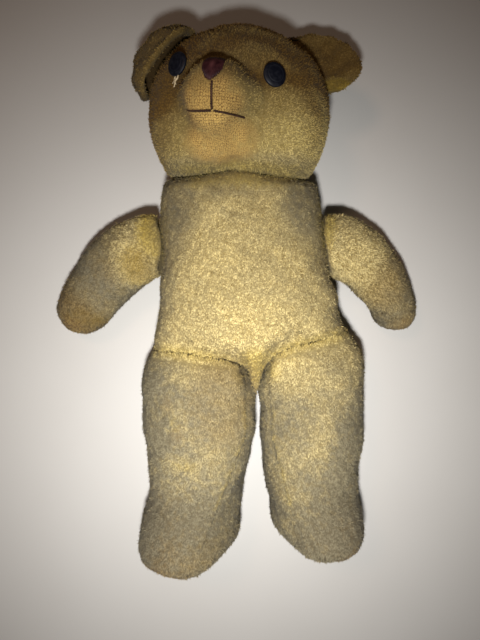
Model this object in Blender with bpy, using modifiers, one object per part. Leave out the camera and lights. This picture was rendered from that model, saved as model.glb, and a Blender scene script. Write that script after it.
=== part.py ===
"""Threadbare teddy bear: plush cloth panels sewn over stuffing, lying on its back.

Metres, +Z up. The bear's head points along +Y, its feet along -Y and its left side along +X.
z = 0 is the surface that it lies on, and the origin is in the middle of the flat of its back.
Every panel is an open surface with Solidify, and each lump of stuffing is a closed loft inside.
"""
import math

import bmesh
import bpy
import numpy as np
from mathutils import Vector

# ---- driving dimensions ----------------------------------------------------------------------
CLOTH = 0.0016                # plush cloth with the root of its pile
SEAM = 0.0013                 # groove between two panels at a seam
FIT = 0.0004                  # clearance between pieces that touch
PACKED = CLOTH + 0.0014       # how far the stuffing lies inside the outer surface
FOOT_PACKED = CLOTH + 0.0028  # more in the legs, whose soles slant

HEAD_CENTRE = np.array([-0.0127, 0.1308, 0.0575])
HEAD_HALF = np.array([0.0638, 0.0477, 0.0590])
HEAD_CROWN = 0.0566               # from the middle up to the crown, taller than down to the chin
HEAD_YAW = math.radians(-9.6)    # the face looks a little to the bear's right
HEAD_ROLL = math.radians(-7.0)
CROWN_POWER, JOWL_POWER = 1.92, 3.0

MUZZLE_REACH = 0.0215         # how far the muzzle stands out of the face
MUZZLE_DROP = 0.219            # slope at which its middle lies below the face's axis
MUZZLE_WIDE = 0.275           # half width and half height, as slopes from the head's middle
MUZZLE_TALL, MUZZLE_CHIN = 0.34, 0.04

GUSSET_START, GUSSET_END = 3.0, 215.0    # degrees, from above the nose over the crown to the nape
GUSSET_AT = [3.0, 30.0, 90.0, 150.0, 215.0]
GUSSET_HALF = [4.0, 11.0, 27.0, 21.0, 7.0]

NECK_Y = 0.0860
NECK_GAP, NECK_BACK = 0.0011, 0.1000    # groove under the head, and how far the nape's cloth goes
HIP_AT = [-0.090, -0.070, -0.050, -0.035, -0.020, -0.010, 0.000, 0.010, 0.020, 0.040, 0.060, 0.090]
HIP_AT_Y = [-0.0410, -0.0428, -0.0445, -0.0468, -0.0497, -0.0532,    # the hip creases, from right
            -0.0575, -0.0478, -0.0415, -0.0362, -0.0310, -0.0240]    # to left over the crotch
HIP_FADE = 0.4                # share of a leg over which its rings follow the crease
TORSO_AT = [0.0, 0.05, 0.14, 0.35, 0.55, 0.75, 0.93, 1.0]
TORSO_HALF = [0.0500, 0.0555, 0.0590, 0.0605, 0.0620, 0.0665, 0.0750, 0.0755]
TORSO_TOP = [0.0790, 0.0835, 0.0860, 0.0875, 0.0885, 0.0870, 0.0800, 0.0745]
TORSO_MIDDLE = [-0.0125, -0.0122, -0.0118, -0.0105, -0.0085, -0.0050, -0.0008, 0.0]
TORSO_POWER, TORSO_SINK = 2.35, 0.0030

LEG_AT = [0.0, 0.06, 0.20, 0.45, 0.66, 0.80, 0.92, 1.0]
LEG_HEIGHT, LEG_POWER = 0.0345, 2.2
SOLE_ROUND, SOLE_TILT = 0.024, 0.16
LEGS = {
    "right": dict(
        side=-1, end=-0.2035, drawn=0.1491, turn=math.radians(32),
        middle=[0.0420, 0.0425, 0.0430, 0.0435, 0.0450, 0.0470, 0.0465, 0.0455],
        half=[0.0365, 0.0395, 0.0400, 0.0380, 0.0335, 0.0350, 0.0350, 0.0340],
        toe=[0.0330, 0.0360, 0.0370, 0.0360, 0.0370, 0.0465, 0.0530, 0.0530],
        heel=[0.0330, 0.0350, 0.0360, 0.0360, 0.0350, 0.0360, 0.0360, 0.0340]),
    "left": dict(
        side=1, end=-0.1930, drawn=0.1386, turn=math.radians(24),
        middle=[0.0420, 0.0430, 0.0435, 0.0440, 0.0450, 0.0455, 0.0445, 0.0435],
        half=[0.0365, 0.0390, 0.0395, 0.0375, 0.0330, 0.0330, 0.0330, 0.0320],
        toe=[0.0330, 0.0360, 0.0370, 0.0360, 0.0365, 0.0440, 0.0500, 0.0500],
        heel=[0.0330, 0.0350, 0.0360, 0.0360, 0.0350, 0.0350, 0.0350, 0.0340]),
}

ARM_AT = [0.0, 0.12, 0.35, 0.62, 0.85, 1.0]
ARM_THICK = [0.0215, 0.0215, 0.0205, 0.0185, 0.0168, 0.0160]
PAW_ROUND = 0.017
ARMS = {
    "right": dict(
        side=-1, shoulder=(-0.0660, 0.0370, 0.0430), elbow=(-0.1125, 0.0405, 0.0260),
        paw=(-0.1450, -0.0285, 0.0175), half=[0.0215, 0.0235, 0.0250, 0.0235, 0.0200, 0.0180]),
    "left": dict(
        side=1, shoulder=(0.0440, 0.0375, 0.0430), elbow=(0.0920, 0.0455, 0.0260),
        paw=(0.1185, -0.0275, 0.0175), half=[0.0215, 0.0230, 0.0238, 0.0218, 0.0180, 0.0158]),
}

EAR_GAP = 0.0009
EAR_END, EAR_CALM = 0.90, 0.60     # how near its corners an ear is cut, and how evenly it is thick
EARS = {
    "right": dict(root=(-0.835, 0.545, 0.08), lean=(0.09, -0.37, 0.92), along=(0.46, 0.87, 0.18),
                  half=0.0206, height=0.0320, cup=0.0075, square=2.9, flare=0.09),
    "left": dict(root=(0.793, 0.609, 0.0), lean=(0.973, 0.228, 0.03), along=(-0.41, 0.91, -0.04),
                 half=0.0205, height=0.0373, cup=0.0042, square=2.2, flare=0.04),
}

EYE_RADIUS, EYE_DOME, EYE_EDGE = 0.0076, 0.0019, 0.0012
EYE_LIFT = 0.0014                      # the button's back stands off the cloth on its shank
EYE_SPLAY = math.tan(math.radians(8))  # each button leans a little outwards on its shank
EYES = {"left": (0.582, 0.054), "right": (-0.540, 0.102)}    # slopes from the face's axis
SHANK_RADIUS, SHANK_HOLE, SHANK_TAIL = 0.0011, 0.0015, 0.0030
WASHER_RADIUS, WASHER_THICK, WASHER_DEPTH = 0.0052, 0.0010, CLOTH + 0.0011
CUTTER_REACH = 0.0100

NOSE_HALF, NOSE_HEIGHT, NOSE_THICK = 0.0064, 0.0155, 0.0018
NOSE_SIDE, NOSE_RISE = -0.010, -0.085
STITCH = 0.0006
STITCHES = {                # ends as slopes from the face's axis, sag between, height off the cloth
    "nose_stem_stitch": ((-0.002, -0.192), (0.012, -0.342), 0.0, 0.0006),
    "mouth_stitch_right": ((0.004, -0.368), (-0.255, -0.385), 0.014, 0.0008),
    "mouth_stitch_left": ((0.032, -0.368), (0.290, -0.441), -0.010, 0.0008),
}

COLOURS = {
    "plush": ((0.43, 0.34, 0.17, 1.0), 0.95, 0.0),
    "stuffing": ((0.62, 0.50, 0.32, 1.0), 1.0, 0.0),
    "eye": ((0.012, 0.013, 0.022, 1.0), 0.45, 0.0),
    "washer": ((0.35, 0.35, 0.36, 1.0), 0.5, 1.0),
    "nose_thread": ((0.10, 0.022, 0.024, 1.0), 0.6, 0.0),
    "mouth_thread": ((0.045, 0.020, 0.014, 1.0), 0.8, 0.0),
}


# ---- shape functions -------------------------------------------------------------------------
def eased(stations, values, at):
    """Smooth curve through values at stations: a cubic between each two, with shared slopes."""
    stations = np.asarray(stations, float)
    values = np.asarray(values, float)
    at = np.asarray(at, float)
    slopes = np.gradient(values, stations)
    i = np.clip(np.searchsorted(stations, at, side="right") - 1, 0, len(stations) - 2)
    step = stations[i + 1] - stations[i]
    s = np.clip((at - stations[i]) / step, 0, 1)
    start = (1 + 2 * s) * (1 - s) ** 2 * values[i] + s * (1 - s) ** 2 * step * slopes[i]
    return start + s * s * (3 - 2 * s) * values[i + 1] + s * s * (s - 1) * step * slopes[i + 1]


def unit(vectors):
    return vectors / np.linalg.norm(vectors, axis=-1, keepdims=True)


def signed_power(values, exponent):
    return np.sign(values) * np.abs(values) ** exponent


def rounded_end(t, reach):
    """Place along a limb and size of its ring, where the last stretch closes as a round end."""
    angle = np.clip((t - (1 - reach)) / reach, 0, 1) * math.pi / 2
    place = np.where(t < 1 - reach, t, 1 - reach + reach * np.sin(angle))
    return place, np.where(t < 1 - reach, 1.0, np.cos(angle) ** 0.75)


def face_axes():
    """Columns: the face's own right, up and forward directions."""
    cy, sy = math.cos(HEAD_YAW), math.sin(HEAD_YAW)
    cr, sr = math.cos(HEAD_ROLL), math.sin(HEAD_ROLL)
    yaw = np.array([[cy, 0, sy], [0, 1, 0], [-sy, 0, cy]])
    roll = np.array([[cr, -sr, 0], [sr, cr, 0], [0, 0, 1]])
    return yaw @ roll


def head_radius(direction, inset=0.0):
    """Distance from the head's middle: a full-cheeked ball with the muzzle standing out of it."""
    low = 0.5 - 0.5 * np.tanh(direction[..., 1] * 3.0)
    power = (CROWN_POWER + (JOWL_POWER - CROWN_POWER) * low)[..., None]
    half = np.stack([HEAD_HALF[0] + 0 * low, HEAD_CROWN + (HEAD_HALF[1] - HEAD_CROWN) * low,
                     HEAD_HALF[2] + 0 * low], -1) - inset
    ball = (np.abs(direction / half) ** power).sum(-1) ** (-1 / power[..., 0])
    local = direction @ face_axes()
    ahead = np.maximum(local[..., 2], 0.05)
    side = local[..., 0] / ahead
    rise = local[..., 1] / ahead + MUZZLE_DROP
    tall = MUZZLE_TALL - MUZZLE_CHIN * np.tanh(rise * 8)
    narrower = inset / HEAD_HALF[2]
    out = (side / (MUZZLE_WIDE - narrower)) ** 2 + (rise / (tall - narrower)) ** 2
    return ball + MUZZLE_REACH * (1 - 0.16 * np.minimum(out, 2)) / (1 + out ** 3)


def head_point(polar, around, inset=0.0, lift=0.0):
    """Polar angle from the face's right-hand axis, and turn around it from the face to the crown."""
    local = np.stack([np.cos(polar), np.sin(polar) * np.sin(around),
                      np.sin(polar) * np.cos(around)], -1)
    direction = local @ face_axes().T
    point = HEAD_CENTRE + direction * (head_radius(direction, inset) + lift)[..., None]
    point[..., 2] = np.maximum(point[..., 2], inset)
    return point


def face_point(side, rise, lift=0.0):
    """Point on the face at two slopes from the axis that the face looks along."""
    side, rise = np.broadcast_arrays(np.asarray(side, float), np.asarray(rise, float))
    direction = unit(np.stack([side, rise, np.ones_like(side)], -1)) @ face_axes().T
    return HEAD_CENTRE + direction * (head_radius(direction) + lift)[..., None]


def under_head(x, z):
    """Y of the underside of the head at a place across and up."""
    across = np.abs((x - HEAD_CENTRE[0]) / HEAD_HALF[0]) ** JOWL_POWER
    up = np.abs((z - HEAD_CENTRE[2]) / HEAD_HALF[2]) ** JOWL_POWER
    return HEAD_CENTRE[1] - HEAD_HALF[1] * np.clip(1 - across - up, 0, 1) ** (1 / JOWL_POWER)


def neck_edge(x, z):
    return np.minimum(under_head(x, z) - NECK_GAP, NECK_BACK)


def hip_y(x):
    return eased(HIP_AT, HIP_AT_Y, x)


def torso_section(t, inset=0.0):
    """Middle, half width, middle height and half height of the body's section."""
    half = eased(TORSO_AT, TORSO_HALF, t) - inset
    top = eased(TORSO_AT, TORSO_TOP, t) - inset
    bottom = inset - TORSO_SINK
    return eased(TORSO_AT, TORSO_MIDDLE, t), half, (top + bottom) / 2, (top - bottom) / 2


def torso_point(t, angle, inset=0.0, scale=1.0):
    """t from the neck to the hips; the neck end follows the head and the hip end the creases."""
    middle, half, height, depth = torso_section(t, inset)
    power = 2 / TORSO_POWER
    x = middle + half * scale * signed_power(np.cos(angle), power)
    z = np.maximum(height + depth * scale * signed_power(np.sin(angle), power), inset)
    fade = np.clip(1 - t / 0.35, 0, 1) ** 2
    y = NECK_Y + (hip_y(x) + FIT - NECK_Y) * t + fade * (neck_edge(x, z) - NECK_Y)
    return np.stack([x, y, z], -1)


def torso_side(side, y, z):
    """X of the body's surface on one side, at a place along it and up, found by halving t."""
    low, high = np.zeros_like(y), np.ones_like(y)
    for _ in range(24):
        t = (low + high) / 2
        middle, half, height, depth = torso_section(t)
        full = np.clip(1 - np.abs((z - height) / depth) ** TORSO_POWER, 0.02, 1)
        x = middle + side * half * full ** (1 / TORSO_POWER)
        fade = np.clip(1 - t / 0.35, 0, 1) ** 2
        here = NECK_Y + (hip_y(x) + FIT - NECK_Y) * t + fade * (neck_edge(x, z) - NECK_Y)
        low, high = np.where(here > y, t, low), np.where(here > y, high, t)
    return x


def leg_point(leg, t, angle, inset=0.0):
    """t from the hip crease to the middle of the sole; angle from the outer side over the toe."""
    t, angle = np.broadcast_arrays(np.asarray(t, float), np.asarray(angle, float))
    start = hip_y(leg["side"] * leg["middle"][0]) - FIT
    length = start - leg["end"] - inset
    place, ring = rounded_end(t, SOLE_ROUND / length)
    longer = length / leg["drawn"] - 1
    at = place - longer * (1 - place) * (1 - (1 - place) ** 5)
    half = eased(LEG_AT, leg["half"], at) - inset
    toe = eased(LEG_AT, leg["toe"], at) - inset
    heel = eased(LEG_AT, leg["heel"], at) - inset
    wide = half * ring * signed_power(np.cos(angle), 2 / LEG_POWER)
    up = signed_power(np.sin(angle), 2 / LEG_POWER) * ring
    tall = np.where(up > 0, toe, heel) * up
    turn = leg["turn"] * np.clip((at - 0.35) / 0.5, 0, 1)
    middle = leg["side"] * eased(LEG_AT, leg["middle"], at)
    x = middle + leg["side"] * (wide * np.cos(turn) + tall * np.sin(turn))
    z = LEG_HEIGHT + tall * np.cos(turn) - wide * np.sin(turn)
    y = start - length * place - SOLE_TILT * np.clip((at - 0.6) / 0.4, 0, 1) * tall
    y = y + np.clip(1 - place / HIP_FADE, 0, 1) ** 2 * (hip_y(x) - start - FIT)
    return np.stack([x, y, np.maximum(z, inset)], -1)


def arm_point(arm, t, angle, inset=0.0, scale=1.0):
    """t from the body to the tip of the paw, along a bend through shoulder, elbow and paw."""
    t, angle = np.broadcast_arrays(np.asarray(t, float), np.asarray(angle, float))
    a, b, c = (np.array(arm[name]) for name in ("shoulder", "elbow", "paw"))
    length = (np.linalg.norm(b - a) + np.linalg.norm(c - b) + np.linalg.norm(c - a)) / 2
    place, ring = rounded_end(t, PAW_ROUND / length)
    s = place[..., None]
    middle = (1 - s) ** 2 * a + 2 * s * (1 - s) * b + s * s * c
    along = unit(2 * (1 - s) * (b - a) + 2 * s * (c - b))
    middle = middle - along * (s ** 4 * inset)
    across = unit(np.cross(along, [0.0, 0.0, 1.0]))
    up = np.cross(across, along)
    wide = (eased(ARM_AT, arm["half"], place) - inset) * ring * scale
    thick = (eased(ARM_AT, ARM_THICK, place) - inset) * ring * scale
    wide, thick = wide * np.cos(angle), thick * np.sin(angle)
    point = middle + across * wide[..., None] + up * thick[..., None]
    across = unit(np.cross(b - a, [0.0, 0.0, 1.0]))
    up = unit(np.cross(across, b - a))
    wide = (arm["half"][0] - inset) * scale * np.cos(angle)
    thick = (ARM_THICK[0] - inset) * scale * np.sin(angle)
    root = a + across * wide[..., None] + up * thick[..., None]
    seat = torso_side(arm["side"], root[..., 1], root[..., 2]) + arm["side"] * (SEAM + FIT)
    fade = np.clip(1 - place / 0.45, 0, 1) ** 2
    point[..., 0] += fade * (seat - root[..., 0])
    point[..., 2] = np.maximum(point[..., 2], inset)
    return point


def ear_middle(ear, w, v):
    """The ear's middle layer: w from end to end of the root, v from the root to the rim."""
    w, v = np.broadcast_arrays(np.asarray(w, float), np.asarray(v, float))
    u = np.sin(w * math.pi / 2)
    root, lean = unit(np.array(ear["root"])), unit(np.array(ear["lean"]))
    along = np.array(ear["along"])
    along = unit(along - root * (along @ root))
    direction = unit(root + along * (ear["half"] / HEAD_HALF[1]) * u[..., None])
    base = HEAD_CENTRE + direction * (head_radius(direction) + EAR_GAP)[..., None]
    out = unit(lean * (0.35 + v[..., None]) + direction * (0.9 - 0.6 * v[..., None]))
    front = unit(np.cross(along, out)) * np.sign(np.cross(along, lean + root)[2])
    full = 0.16 + 0.84 * np.sqrt(np.maximum(1 - np.abs(u) ** ear["square"], 0))
    cup = ear["cup"] * full ** 2 * np.sin(math.pi * v)
    spread = ear["flare"] * u * v * ear["half"]
    return (base + out * (ear["height"] * full * v)[..., None] + along * spread[..., None]
            - front * cup[..., None])


def ear_point(ear, w, v, lift=0.0):
    """Point at a height off the ear's middle layer, towards its front."""
    step = 0.02
    inner, low, high = EAR_CALM * w, np.maximum(v - step, 0), np.minimum(v + step, 1)
    across = ear_middle(ear, inner + step, v) - ear_middle(ear, inner - step, v)
    rising = ear_middle(ear, inner, high) - ear_middle(ear, inner, low)
    facing = np.sign(np.cross(ear["along"], np.add(ear["lean"], ear["root"]))[2])
    return ear_middle(ear, w, v) + facing * unit(np.cross(across, rising)) * lift


# ---- building tools --------------------------------------------------------------------------
def clear_scene():
    for thing in list(bpy.data.objects):
        bpy.data.objects.remove(thing, do_unlink=True)


def material(name):
    made = bpy.data.materials.get(name) or bpy.data.materials.new(name)
    colour, roughness, metallic = COLOURS[name]
    made.use_nodes = True
    shader = made.node_tree.nodes["Principled BSDF"]
    shader.inputs["Base Color"].default_value = colour
    shader.inputs["Roughness"].default_value = roughness
    shader.inputs["Metallic"].default_value = metallic
    return made


def add_object(name, mesh, finish, collection):
    made = bpy.data.objects.new(name, mesh)
    if finish:
        mesh.materials.append(material(finish))
        mesh.shade_smooth()
    collection.objects.link(made)
    return made


def lofted_mesh(name, rows, wrap=False, start=None, end=None, outward_from=None):
    """Mesh through rows of points; a start or end point closes that end with a fan."""
    count, across = rows.shape[:2]
    points = [tuple(p) for p in rows.reshape(-1, 3)]
    faces = []
    for i in range(count - 1):
        for j in range(across if wrap else across - 1):
            k = (j + 1) % across
            low, high = i * across, (i + 1) * across
            faces.append((low + j, low + k, high + k, high + j))
    for tip, first, order in ((start, 0, -1), (end, (count - 1) * across, 1)):
        if tip is not None:
            points.append(tuple(tip))
            for j in range(across):
                pair = (first + j, first + (j + 1) % across)
                faces.append((len(points) - 1,) + pair[::-order])
    mesh = bpy.data.meshes.new(name)
    mesh.from_pydata(points, [], faces)
    shape = bmesh.new()
    shape.from_mesh(mesh)
    bmesh.ops.recalc_face_normals(shape, faces=shape.faces[:])
    if outward_from is not None:
        middle = Vector(outward_from)
        if sum((f.calc_center_median() - middle).dot(f.normal) * f.calc_area() for f in shape.faces) < 0:
            bmesh.ops.reverse_faces(shape, faces=shape.faces[:])
    shape.to_mesh(mesh)
    shape.free()
    return mesh


def thicken(piece, even=True):
    wall = piece.modifiers.new("cloth", "SOLIDIFY")
    wall.thickness = CLOTH
    wall.offset = -1.0
    wall.use_even_offset = even
    return piece


def cut(piece, cutter):
    hole = piece.modifiers.new("hole", "BOOLEAN")
    hole.operation = "DIFFERENCE"
    hole.object = cutter
    hole.solver = "EXACT"


def trimmed(point_at, t, angle, sign):
    """Angle moved off a seam by half the seam's groove, where point_at gives the surface."""
    step = 0.01
    reach = np.linalg.norm(point_at(t, angle + step) - point_at(t, angle), axis=-1) / step
    return angle + sign * SEAM / 2 / np.maximum(reach, 0.0006)


def tube_panel(name, point_at, t, seams, columns, middle, collection):
    """Cloth panel between two seams of a body or limb; the seams are angles round its section."""
    first = trimmed(point_at, t, np.full_like(t, seams[0]), 1)
    last = trimmed(point_at, t, np.full_like(t, seams[1]), -1)
    part = np.linspace(0, 1, columns)[None, :]
    angle = first[:, None] + (last - first)[:, None] * part
    rows = point_at(t[:, None] + 0 * angle, angle)
    mesh = lofted_mesh(name, rows, outward_from=middle)
    return thicken(add_object(name, mesh, "plush", collection))


def places(*runs):
    """Places along a piece, as runs of (start, end, count)."""
    return np.unique(np.concatenate([np.linspace(*run) for run in runs]))


# ---- head ------------------------------------------------------------------------------------
def gusset_angle(around_degrees):
    return np.radians(eased(GUSSET_AT, GUSSET_HALF, around_degrees))


def head_side(which, collection):
    """Side panel: a fan of rings from the cheek out to the gusset's and the chin's seams."""
    step_in = 1.5 * math.degrees(SEAM / HEAD_HALF[2])
    over = places((GUSSET_START, 21, 4), (21, GUSSET_END, 13))
    under = places((GUSSET_END + step_in, 300, 6), (300, GUSSET_START + 360 - step_in, 9))
    seam = np.concatenate([math.pi / 2 - gusset_angle(over), np.full(len(under), math.pi / 2)])
    around = np.radians(np.concatenate([over, under]))
    seam = seam - SEAM / 2 / HEAD_HALF[2]
    part = places((0.17, 0.68, 4), (0.68, 1.0, 7))[:, None]
    polar = part * seam[None, :]
    polar = polar if which == "left" else math.pi - polar
    rows = head_point(polar, around[None, :] + 0 * polar)
    cheek = head_point(np.array(0.0 if which == "left" else math.pi), np.array(0.0))
    name = "head_side_" + which
    mesh = lofted_mesh(name, rows, wrap=True, start=cheek, outward_from=HEAD_CENTRE)
    return thicken(add_object(name, mesh, "plush", collection))


def head_gusset(collection):
    """Strip from above the nose, over the crown, to the nape."""
    tip = math.degrees(SEAM / 2 / HEAD_HALF[2])
    around = places((GUSSET_START + tip, 21, 4), (21, GUSSET_END - tip, 13))
    half = gusset_angle(around)[:, None] - SEAM / 2 / HEAD_HALF[2]
    polar = math.pi / 2 + half * np.linspace(-1, 1, 7)[None, :]
    rows = head_point(polar, np.radians(around)[:, None] + 0 * polar)
    mesh = lofted_mesh("head_gusset", rows, outward_from=HEAD_CENTRE)
    return thicken(add_object("head_gusset", mesh, "plush", collection))


def head_stuffing(collection):
    polar = np.linspace(0, math.pi, 17)[1:-1, None]
    around = np.linspace(0, 2 * math.pi, 24, endpoint=False)[None, :]
    rows = head_point(polar + 0 * around, around + 0 * polar, PACKED + FIT)
    ends = [head_point(np.array(at), np.array(0.0), PACKED + FIT) for at in (0.0, math.pi)]
    mesh = lofted_mesh("stuffing_head", rows, True, ends[0], ends[1])
    return add_object("stuffing_head", mesh, "stuffing", collection)


def make_ear(which, collection):
    """Two cloth layers, front and back, sewn together round the rim and to the head at the root."""
    w = np.linspace(-EAR_END, EAR_END, 13)[:, None]
    v = np.linspace(0, 1, 5)[None, :]
    for layer, sign in (("front", 1), ("back", -1)):
        rows = ear_point(EARS[which], w, v, sign * (CLOTH + 2 * FIT))
        other = ear_point(EARS[which], 0.0, 0.5, -sign * EARS[which]["height"])
        name = "ear_" + layer + "_" + which
        mesh = lofted_mesh(name, rows, outward_from=other)
        thicken(add_object(name, mesh, "plush", collection), even=False)


# ---- face ------------------------------------------------------------------------------------
def eye_frame(which):
    """Seat of an eye on the face, and the direction in which it looks."""
    side, rise = EYES[which]
    step = 0.02
    across = face_point(side + step, rise) - face_point(side - step, rise)
    up = face_point(side, rise + step) - face_point(side, rise - step)
    look = unit(np.cross(across, up)) + face_axes()[:, 0] * (np.sign(side) * EYE_SPLAY)
    return Vector(face_point(side, rise)), Vector(unit(look))


def turned(name, profile, finish, collection, segments=20):
    """Turned piece: a profile of (radius, height), top to bottom, with a Screw round Z."""
    mesh = bpy.data.meshes.new(name)
    edges = [(i, i + 1) for i in range(len(profile) - 1)]
    mesh.from_pydata([(r, 0, z) for r, z in profile], edges, [])
    made = add_object(name, mesh, finish, collection)
    screw = made.modifiers.new("turn", "SCREW")
    screw.steps = segments
    screw.render_steps = segments
    screw.use_merge_vertices = True
    screw.merge_threshold = 0.00005
    return made


def set_on(piece, seat, look, depth=0.0):
    piece.rotation_mode = "QUATERNION"
    piece.rotation_quaternion = look.to_track_quat("Z", "Y")
    piece.location = seat + look * depth


def block(radius, floor):
    """Profile of a plain round cutter, from above the cloth down to its floor."""
    return [(0, CUTTER_REACH), (radius, CUTTER_REACH), (radius, floor), (0, floor)]


def make_eye(which, panel, filling, collection, cutters):
    """Domed button on a shank through the cloth, held by a washer in a pocket of the stuffing."""
    seat, look = eye_frame(which)
    stem = CLOTH + EYE_LIFT + WASHER_THICK + SHANK_TAIL
    dome = [(EYE_RADIUS * math.sin(a), EYE_EDGE + EYE_DOME * math.cos(a))
            for a in np.radians([0, 16, 34, 52, 70, 90])]
    profile = dome + [(EYE_RADIUS, 0.0), (SHANK_RADIUS, 0.0), (SHANK_RADIUS, -stem), (0.0, -stem)]
    eye = turned("eye_" + which, profile, "eye", collection)
    set_on(eye, seat, look, EYE_LIFT)
    ring = [(SHANK_HOLE, 0.0), (WASHER_RADIUS, 0.0), (WASHER_RADIUS, -WASHER_THICK),
            (SHANK_HOLE, -WASHER_THICK), (SHANK_HOLE, 0.0)]
    washer = turned("eye_washer_" + which, ring, "washer", collection)
    set_on(washer, seat, look, -WASHER_DEPTH)
    hole = turned("shank_hole_" + which, block(SHANK_HOLE, -CUTTER_REACH), None, cutters, 12)
    pocket_floor = EYE_LIFT - stem - FIT
    pocket = turned("washer_pocket_" + which, block(WASHER_RADIUS + FIT, pocket_floor), None, cutters)
    for cutter, piece in ((hole, panel), (pocket, filling)):
        set_on(cutter, seat, look)
        cutter.hide_render = True
        cutter.display_type = "WIRE"
        cut(piece, cutter)


def nose_outline(part):
    """Half width of the nose from its flat top, 0, to its lower point, 1."""
    return NOSE_HALF * np.sqrt(np.clip(1 - part ** 1.7, 0, 1)) * np.minimum(1, 0.80 + 2.2 * part)


def make_nose(collection):
    """Pad of upright stitches in a rounded triangle, domed off the end of the muzzle."""
    reach = HEAD_HALF[2] + MUZZLE_REACH
    part = np.array([0.0, 0.1, 0.25, 0.42, 0.6, 0.76, 0.89, 0.97])[:, None]
    across = np.linspace(-1, 1, 8)[None, :]
    side = NOSE_SIDE + across * nose_outline(part) / reach
    rise = NOSE_RISE + NOSE_HEIGHT * (0.5 - part) / reach + 0 * across
    dome = NOSE_THICK * (1 - 0.55 * across ** 4) * (1 - 0.5 * (2 * part - 1) ** 4)
    under = face_point(side, rise, FIT)
    over = face_point(side, rise, FIT + dome)
    loop = np.concatenate([under, over[:, ::-1]], axis=1)
    mesh = lofted_mesh("nose", loop, True)
    shape = bmesh.new()
    shape.from_mesh(mesh)
    shape.verts.ensure_lookup_table()
    last = loop.shape[1]
    rows = loop.shape[0]
    for first, flip in ((0, False), ((rows - 1) * last, True)):
        for j in range(last // 2 - 1):
            ring = [first + j, first + j + 1, first + last - 2 - j, first + last - 1 - j]
            shape.faces.new([shape.verts[i] for i in (ring[::-1] if flip else ring)])
    bmesh.ops.recalc_face_normals(shape, faces=shape.faces[:])
    shape.to_mesh(mesh)
    shape.free()
    return add_object("nose", mesh, "nose_thread", collection)


def stitch(name, collection, count=9):
    """Thread laid on the muzzle between two places, each a (side, rise) slope."""
    start, end, sag, height = STITCHES[name]
    part = np.linspace(0, 1, count)
    side = start[0] + (end[0] - start[0]) * part
    rise = start[1] + (end[1] - start[1]) * part - sag * np.sin(math.pi * part)
    path = face_point(side, rise, STITCH + height)
    curve = bpy.data.curves.new(name, "CURVE")
    curve.dimensions = "3D"
    curve.bevel_depth = STITCH
    curve.bevel_resolution = 1
    curve.use_fill_caps = True
    curve.materials.append(material("mouth_thread"))
    line = curve.splines.new("POLY")
    line.points.add(count - 1)
    for point, place in zip(line.points, path):
        point.co = (*place, 1.0)
    made = bpy.data.objects.new(name, curve)
    collection.objects.link(made)
    return made


# ---- body ------------------------------------------------------------------------------------
def make_body(collection):
    """Two front panels with a seam down the middle, and one back panel, round the stuffing."""
    t = places((0.0, 0.06, 3), (0.06, 0.92, 9), (0.92, 1.0, 3))
    right, front, left = math.radians(188), math.radians(90), math.radians(-8)
    middle = (TORSO_MIDDLE[4], 0.0, TORSO_TOP[4] / 2)
    full = 2 * math.pi
    tube_panel("body_front_left", torso_point, t, (left, front), 14, middle, collection)
    tube_panel("body_front_right", torso_point, t, (front, right), 14, middle, collection)
    tube_panel("body_back", torso_point, t, (right, left + full), 22, middle, collection)
    angle = np.linspace(0, full, 24, endpoint=False)[None, :]
    place = places((0.03, 0.2, 4), (0.2, 0.985, 7))[:, None]
    cap = torso_point(np.full((3, 1), 0.03) + 0 * angle, angle + np.zeros((3, 1)), PACKED,
                      np.array([0.25, 0.55, 0.8])[:, None])
    rows = np.concatenate([cap, torso_point(place + 0 * angle, angle + 0 * place, PACKED)])
    start = torso_point(np.array(0.03), np.array(0.0), PACKED, 0.0)
    last = np.full((3, 1), place[-1, 0])
    cap = torso_point(last + 0 * angle, angle + 0 * last, PACKED, np.array([0.8, 0.55, 0.27])[:, None])
    end = torso_point(place[-1, 0], np.array(0.0), PACKED, 0.0)
    mesh = lofted_mesh("stuffing_body", np.concatenate([rows, cap]), True, start, end)
    add_object("stuffing_body", mesh, "stuffing", collection)


def make_leg(which, collection):
    """Front and back panels that meet on the inner and outer side, round the stuffing."""
    leg = LEGS[which]

    def point_at(t, angle):
        return leg_point(leg, t, angle)

    t = places((0.0, 0.12, 3), (0.12, 0.82, 6), (0.82, 0.985, 6))
    outer, inner = math.radians(-25), math.radians(148)
    middle = leg_point(leg, 0.5, np.linspace(0, 6, 8)).mean(0)
    tube_panel("leg_front_" + which, point_at, t, (outer, inner), 14, middle, collection)
    tube_panel("leg_back_" + which, point_at, t, (inner, outer + 2 * math.pi), 14, middle, collection)
    angle = np.linspace(0, 2 * math.pi, 18, endpoint=False)[None, :]
    place = places((0.012, 0.12, 3), (0.12, 0.82, 6), (0.82, 0.985, 6))[:, None]
    rows = leg_point(leg, place + 0 * angle, angle + 0 * place, FOOT_PACKED)
    end = leg_point(leg, 1.0, 0.0, FOOT_PACKED)
    mesh = lofted_mesh("stuffing_leg_" + which, rows, True, rows[0].mean(0), end)
    add_object("stuffing_leg_" + which, mesh, "stuffing", collection)


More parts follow.
